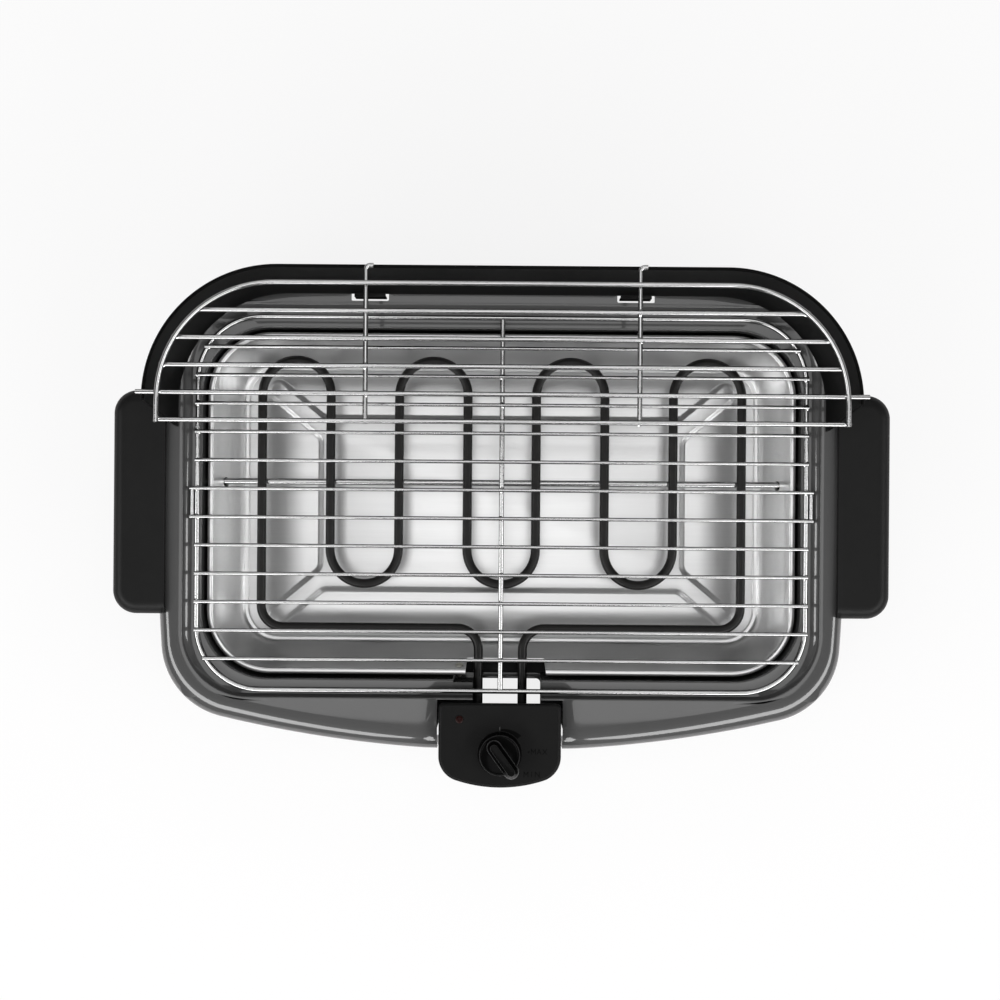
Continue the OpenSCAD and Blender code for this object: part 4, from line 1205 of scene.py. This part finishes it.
@dataclass
class ControlBox:
    """Moulded box with a bowed front, its knob, scale and lamp."""

    half: float = 39.0
    rear_y: float = -112.0
    front_y: float = -166.0
    bow: float = 90.0
    corner: float = 16.0
    split_z: float = 58.0
    top_z: float = 84.0
    foot_z: float = 22.0
    wall: float = 2.2
    edge: float = 2.5
    fall: float = 6.75
    knob: Pair = (0.0, -144.0)
    knob_r: float = 14.2
    skirt_h: float = 8.6
    grip_h: float = 4.4
    grip_w: float = 10.0
    grip_angle: float = -54.0
    grip_ends: Pair = (17.5, -6.0)
    lamp: Pair = (-25.7, -122.6)
    lamp_r: float = 2.5
    shaft_r: float = 3.2
    screws: tuple[Pair, ...] = ((32.0, -127.0), (26.0, -153.3))
    leg_at: Spot = (14.4, -116.5, 50.0)
    gland: Pair = (0.0, -157.5)
    gland_r: float = 5.05
    words: tuple[tuple[str, float, float], ...] = (("MAX", 20.2, -144.2), ("MIN", 15.6, -158.6))

    def outline(self, z: float, rear_r: float = 3.2) -> Contour:
        """Return the box's plan contour at a height, whose rear falls away to the front below."""
        rear = self.rear_y - (self.top_z - z) * tan(radians(self.fall))
        bow_c = (0.0, self.front_y + self.bow)
        cx = self.half - self.corner
        cy = bow_c[1] - sqrt((self.bow - self.corner) ** 2 - cx ** 2)
        turn = degrees(atan2(cy - bow_c[1], cx))
        points = arc((self.half - rear_r, rear - rear_r), rear_r, 0, 90, 6)
        points += side(points[-1], PlanPoint(-self.half + rear_r, rear, 0, 1), 16)
        points += arc((-self.half + rear_r, rear - rear_r), rear_r, 90, 180, 6)
        points += side(points[-1], PlanPoint(-self.half, cy, -1, 0), 10)
        points += arc((-cx, cy), self.corner, 180, 180 - turn, 14)
        points += arc(bow_c, self.bow, -180 - turn, turn, 24, False)
        points += arc((cx, cy), self.corner, turn, 0, 14)
        points += side(PlanPoint(self.half, cy, 1, 0),
                       PlanPoint(self.half, rear - rear_r, 1, 0), 10)
        return Contour(points)

    def skin(self, name: str, line: list[Pair]) -> Piece:
        """Sweep a line of (depth, height) points round the box and close both ends."""
        return solid(name, [self.outline(z).ring(d, z) for d, z in line])

    def screw_places(self) -> list[Pair]:
        """Return the four plan places of the screw posts."""
        return [(x, y) for x0, y in self.screws for x in (-x0, x0)]

    def cover(self) -> Piece:
        """Make the upper shell with its lamp and shaft holes and its screw posts."""
        top, r, wall = self.top_z, self.edge, self.wall
        line = [(wall + 0.6, top - wall), (wall, top - wall - 0.6), (wall, self.split_z),
                (0.5, self.split_z), (0.0, self.split_z + 0.5), (0.0, top - r - 1)]
        line += fillet(r, top - r, r, 0, 90, 8)
        line.append((r + 0.4, top))
        lid = self.skin("control_lid", line)
        carve(lid, [lathe("cut_round", [(size, 70), (size, 90)], at, 32)
                    for size, at in ((self.lamp_r, self.lamp), (self.shaft_r, self.knob))], 35)
        post = [(1.7, 81.0), (1.7, 24.5), (3.5, 24.5), (3.5, 82.5), (1.0, 82.5), (1.0, 81.0)]
        posts = [lathe("screw_post", post, place, 28) for place in self.screw_places()]
        return merge([lid, *posts], "control_lid")

    def scale(self) -> None:
        """Lay the dial's marks on the lid: a swelling arc, a tick and two words."""
        z = self.top_z
        outer, inner = [], []
        for i in range(25):
            a = radians(92 - 52 * i / 24)
            for edge, ring in ((outer, 15.2 + 2.6 * i / 24), (inner, 14.5)):
                edge.append((self.knob[0] + ring * cos(a), self.knob[1] + ring * sin(a)))
        line = outer + inner[::-1]
        rings = [[Vector((x, y, h)) for x, y in line] for h in (z - 0.1, z + 0.08)]
        marks = [solid("scale_mark", rings)]
        marks += [stroke((18.4, -142.9), (18.5, -142.8), 0.45, z)]
        wide, tall, pitch = 2.5, 3.0, 3.6
        for word, x, y in self.words:
            for i, letter in enumerate(word):
                at = x + i * pitch
                for x0, y0, x1, y1 in LETTERS[letter]:
                    marks.append(stroke((at + x0 * wide, y + y0 * tall),
                                        (at + x1 * wide, y + y1 * tall), 0.2, z))
        fit(merge(marks, "scale_marks"), SCALE_BLACK, "heater")
        tick = stroke((0.0, self.knob[1] + 14.9), (0.0, self.knob[1] + 16.6), 0.3, z + 0.05)
        tick.name = "scale_tick"
        fit(tick, SCALE_GREY, "heater")

    def tub(self) -> Piece:
        """Make the lower shell of the box."""
        foot, wall, split = self.foot_z, self.wall, self.split_z
        tub = self.skin("control_tub", [(2.8, foot), (1.0, foot + 0.3), (0.2, foot + 1.2),
                                        (0, foot + 2), (0, split - 0.7), (0.5, split - 0.1),
                                        (wall, split - 0.1), (wall, foot + wall)])
        x, y, z = self.leg_at
        holes = [bar("cut_leg", (way * x, y, z), self.shaft_r, 12.0, False) for way in (-1, 1)]
        holes += [lathe("cut_screw", [(1.7, 10), (1.7, 30)], at, 20)
                  for at in self.screw_places()]
        gland = lathe("cut_gland", [(self.gland_r, 10), (self.gland_r, 30)], self.gland, 32)
        carve(tub, [*holes, gland], 35)
        return tub

    def dial(self) -> Piece:
        """Make the knob: a tapered skirt and a raised grip with sloping sides."""
        z = self.top_z + 0.3
        r, h = self.knob_r, self.skirt_h
        skirt = lathe("knob_skirt", [(3.1, z + 1), (3.1, z), (r - 0.5, z), (r, z + 0.5),
                                     (r - 0.2, z + 2.2), (r - 1.1, z + h - 0.7),
                                     (r - 1.3, z + h - 0.3), (r - 1.6, z + h - 0.05),
                                     (r - 2.0, z + h), (r - 2.6, z + h - 0.15),
                                     (r - 3.2, z + h - 0.5), (4.0, z + h - 0.5)], self.knob, 96)
        rings = [self.grip_ring(z + h - 0.9 + (self.grip_h + 0.9) * share, shrink)
                 for share, shrink in ((0.0, 0.0), (0.3, 0.9), (0.8, 2.15), (0.94, 2.45),
                                       (0.985, 2.6), (1.0, 2.85))]
        grip = solid("knob_grip", rings, smooth_angle=50)
        return merge([skirt, grip], "knob_turned")

    def grip_place(self, along: float, across: float, z: float) -> Vector:
        """Return a place on the grip from its own length, width and height."""
        a = radians(self.grip_angle)
        return Vector((self.knob[0] + along * cos(a) - across * sin(a),
                       self.knob[1] + along * sin(a) + across * cos(a), z))

    def grip_ring(self, z: float, shrink: float) -> Ring:
        """Return the grip's outline at a height, drawn in by a small amount."""
        half = self.grip_w / 2
        ring = []
        nose, tail = self.grip_ends
        for start, middle in ((-90, nose - half), (90, tail)):
            for k in range(13):
                a = radians(start + 15 * k)
                ring.append(self.grip_place(middle + (half - shrink) * cos(a),
                                            (half - shrink) * sin(a), z))
        return ring

    def build(self) -> None:
        """Make and dress every piece of the box."""
        fit(self.cover(), CONTROL_BLACK, "heater", "control_cover")
        self.scale()
        fit(self.tub(), CONTROL_BLACK, "heater", "control_floor")
        fit(self.dial(), KNOB_BLACK, "knob", "control_knob")


LETTERS = {
    "M": ((0, 0, 0, 1), (0, 1, 0.5, 0.4), (0.5, 0.4, 1, 1), (1, 1, 1, 0)),
    "A": ((0, 0, 0.5, 1), (0.5, 1, 1, 0), (0.22, 0.4, 0.78, 0.4)),
    "X": ((0, 0, 1, 1), (0, 1, 1, 0)),
    "I": ((0.5, 0, 0.5, 1),),
    "N": ((0, 0, 0, 1), (0, 1, 1, 0), (1, 0, 1, 1)),
}


def stroke(start: Pair, end: Pair, half: float, z: float) -> Piece:
    """Make a flat printed stroke between two plan points.

    Args:
        start: one end.
        end: the other end.
        half: half its width.
        z: height of the face that it lies on.
    Returns:
        The stroke, with ends drawn out by half its width.
    """
    a, b = Vector((*start, 0)), Vector((*end, 0))
    along = (b - a).normalized() * half
    across = Vector((-along.y, along.x, 0))
    plan = [a - along - across, b + along - across, b + along + across, a - along + across]
    rings = [[v + Vector((0, 0, h)) for v in plan] for h in (z - 0.1, z + 0.08)]
    return solid("scale_stroke", rings)


@dataclass
class WireWork:
    """Weld beads where the wires of the grate and the warming rack cross."""

    grate: Spot = (390.0, 239.4, 41.0)
    pitch: float = 18.145
    count: int = 12
    weld_z: float = 74.35
    rack_half: float = 207.0
    rack_rear: float = 146.15
    rack_corner: float = 70.0
    rack_pitch: float = 16.5
    rack_z: float = 145.1
    hook_x: float = 82.5
    layer: float = 1.35

    def bead(self, x: float, y: float, z: float, r: float, turn: float) -> Piece:
        """Make one bead: a flattened drop, turned a little so that no two look alike."""
        profile = [(0.05, -0.6), (0.55, -0.5), (0.95, -0.12), (1.0, 0.12), (0.6, 0.5),
                   (0.05, 0.62)]
        bead = lathe("bead", [(r * a, z + r * b) for a, b in profile], (0.0, 0.0), 10)
        bead.data.transform(Matrix.Rotation(turn, 4, "Z") @ Matrix.Diagonal((1.25, 0.8, 1.0, 1.0)))
        bead.data.transform(Matrix.Translation(Vector((x, y, 0)) * MM))
        return bead

    def edge(self, y: float) -> float:
        """Return the half width of the grate's frame at a distance from its middle."""
        w, d, r = self.grate
        out = abs(y) - (d / 2 - r)
        return w / 2 if out < 0 else w / 2 - r + sqrt(r * r - out * out)

    def build(self) -> None:
        """Place all the beads and dress them."""
        beads = []
        for i in range(self.count):
            y = ((self.count - 1) / 2 - i) * self.pitch
            for x in (-self.edge(y), 0.0, self.edge(y)):
                beads.append(self.bead(x, y + MID_Y, self.weld_z, 1.75, 0.9 * i + x))
        fit(merge(beads, "grate_beads"), CHROME, "grate")
        beads = []
        for i in range(1, 6):
            out = max(0.0, self.rack_corner - i * self.rack_pitch)
            edge = self.rack_half - self.rack_corner + sqrt(self.rack_corner ** 2 - out * out)
            y = self.rack_rear - i * self.rack_pitch
            for x, h in ((-edge, 1), (edge, 1), (-self.hook_x, -1), (self.hook_x, -1)):
                beads.append(self.bead(x, y, self.rack_z + h * self.layer, 1.9, 0.7 * i + x))
        fit(merge(beads, "rack_beads"), CHROME, "rack")


@dataclass
class TrayScrew:
    """Cross-head machine screw through the tray's front wall, with its nut."""

    at: Spot = (-26.6, -92.79, 53.0)
    lean: float = 22.92
    sheet: float = 1.0
    nut_r: float = 2.7

    def build(self) -> None:
        """Make the screw upright, then lay it along its own axis and dress it."""
        t = self.sheet
        head = lathe("screw", [(0.4, -t - 2.1), (1.9, -t - 1.95), (2.6, -t - 1.3), (2.8, -t - 0.4),
                               (2.7, -t - 0.15), (1.5, -t - 0.1), (1.5, 5.6), (1.1, 6.1),
                               (0.3, 6.1)], (0.0, 0.0), 36)
        cross = [block("cut_cross", (-a, -b, -t - 3.0), (a, b, -t - 1.1), 0.0)
                 for a, b in ((1.7, 0.32), (0.32, 1.7))]
        carve(head, cross, 35)
        ring = [Vector((self.nut_r * cos(radians(60 * k)),
                        self.nut_r * sin(radians(60 * k)), 0)) for k in range(6)]
        nut = solid("nut", [[v * f + Vector((0, 0, z)) for v in ring]
                            for f, z in ((0.9, 0.15), (1.0, 0.4), (1.0, 2.3), (0.9, 2.55))],
                    smooth_angle=20)
        screw = merge([head, nut], "tray_cross_screw")
        lay = Matrix.Rotation(radians(90 + self.lean), 4, "X")
        screw.data.transform(Matrix.Translation(Vector(self.at) * MM) @ lay)
        fit(screw, ZINC, "tray", "tray_screw")


# ---------------------------------------------------------------- studio


@dataclass(frozen=True)
class Studio:
    """Floor, lamps and camera."""

    camera_at: Spot = (-0.001, 0.0169, 1.175)
    lens: float = 61.9
    roll: float = 0.45
    whiteness: float = 0.85
    world: float = 0.16
    half_floor: float = 6.0
    aim: Spot = (0.0, 0.0, 0.05)

    def floor(self) -> None:
        """Lay a wide pale floor that shows white to the camera and keeps the shadow."""
        mesh = bpy.data.meshes.new("floor")
        s = self.half_floor
        mesh.from_pydata([(-s, -s, 0), (s, -s, 0), (s, s, 0), (-s, s, 0)], [], [(0, 1, 2, 3)])
        floor = stand("floor", mesh)
        made = bpy.data.materials.new("pale floor")
        made.use_nodes = True
        made.node_tree.nodes.clear()
        shader = Shader(made.node_tree)
        cloth = shader.add("ShaderNodeBsdfPrincipled", Base_Color=(0.9, 0.885, 0.89, 1.0),
                           Roughness=0.9)
        cloth.inputs["Specular IOR Level"].default_value = 0.0
        white = shader.add("ShaderNodeEmission", Color=grey(1.0), Strength=1.0)
        seen = shader.math("MULTIPLY", shader.add("ShaderNodeLightPath").outputs["Is Camera Ray"],
                           self.whiteness)
        both = shader.choose(seen, cloth.outputs[0], white.outputs[0])
        shader.add("ShaderNodeOutputMaterial", Surface=both)
        mesh.materials.append(made)

    def lamp(self, name: str, at: Spot, size: Pair, watts: float) -> None:
        """Hang a soft rectangular lamp that faces the grill."""
        data = bpy.data.lights.new(name, "AREA")
        data.shape = "RECTANGLE"
        data.size, data.size_y = size
        data.energy = watts
        lamp = stand(name, data)
        lamp.location = at
        aim = Vector(self.aim) - Vector(at)
        lamp.rotation_euler = aim.to_track_quat("-Z", "Y").to_euler()

    def sky(self) -> None:
        """Light the room evenly and show white behind the floor."""
        world = bpy.data.worlds.new("studio")
        world.use_nodes = True
        world.node_tree.nodes.clear()
        shader = Shader(world.node_tree)
        path = shader.add("ShaderNodeLightPath")
        seen = shader.math("ADD", path.outputs["Is Camera Ray"],
                           path.outputs["Is Transmission Ray"])
        even = shader.add("ShaderNodeBackground", Color=grey(1.0), Strength=self.world)
        white = shader.add("ShaderNodeBackground", Color=grey(1.0), Strength=1.0)
        both = shader.choose(seen, even.outputs[0], white.outputs[0])
        shader.add("ShaderNodeOutputWorld", Surface=both)
        bpy.context.scene.world = world

    def camera(self) -> None:
        """Hang the camera straight above the grill."""
        data = bpy.data.cameras.new("camera")
        data.lens = self.lens
        data.sensor_width = 36.0
        data.clip_start = 0.01
        camera = stand("camera", data)
        camera.location = self.camera_at
        camera.rotation_euler = (0.0, 0.0, radians(self.roll))
        bpy.context.scene.camera = camera

    def build(self) -> None:
        """Set up the whole studio."""
        bpy.context.scene.view_settings.view_transform = "Standard"
        self.camera()
        self.floor()
        self.lamp("overhead", (0.0, 0.08, 1.9), (1.05, 1.02), 4.6)
        self.lamp("key", (-1.11, -0.93, 1.1), (2.6, 0.5), 24.0)
        self.lamp("fill", (1.11, -0.93, 1.1), (2.6, 0.5), 24.0)
        self.lamp("rear", (0.0, 1.4, 1.2), (1.6, 0.4), 3.5)
        self.sky()


CAD_FINISHES: dict[str, Finish] = {
    "base_shell": BASE_GREY, "heat_plate": HEAT_PLATE, "feet": FOOT_RUBBER,
    "left_handle": HANDLE_BLACK, "right_handle": HANDLE_BLACK, "handle_screws": ZINC,
    "drip_tray": TRAY_STEEL, "tray_screw": ZINC, "support_rod": CHROME,
    "heating_element": ELEMENT_BLACK, "element_terminals": ZINC,
    "control_cover": CONTROL_BLACK, "control_floor": CONTROL_BLACK, "control_screws": ZINC,
    "thermostat_body": CERAMIC, "terminal_block": IVORY, "neon_lamp": LENS_RED,
    "lamp_lens": LENS_RED, "inlet_gland": CONTROL_BLACK, "knob_shaft": ZINC,
    "control_knob": KNOB_BLACK, "grate_frame": CHROME, "grate_cross_wires": CHROME,
    "grate_centre_wire": CHROME, "grate_lugs": CHROME, "wind_shield": SHIELD_BLACK,
    "rack_frame": CHROME, "rack_cross_wires": CHROME, "rack_hook_wires": CHROME,
}


def main() -> None:
    """Build the studio, dress the CAD nodes and make the detailed pieces."""
    logging.basicConfig(level=logging.INFO, format="%(message)s")
    Studio().build()
    for node, finish in CAD_FINISHES.items():
        dress(node, finish)
    for part in (Moulding(), DripTray(), WindShield(), TrayScrew(), ControlBox(), WireWork()):
        part.build()


if __name__ == "__main__":
    main()
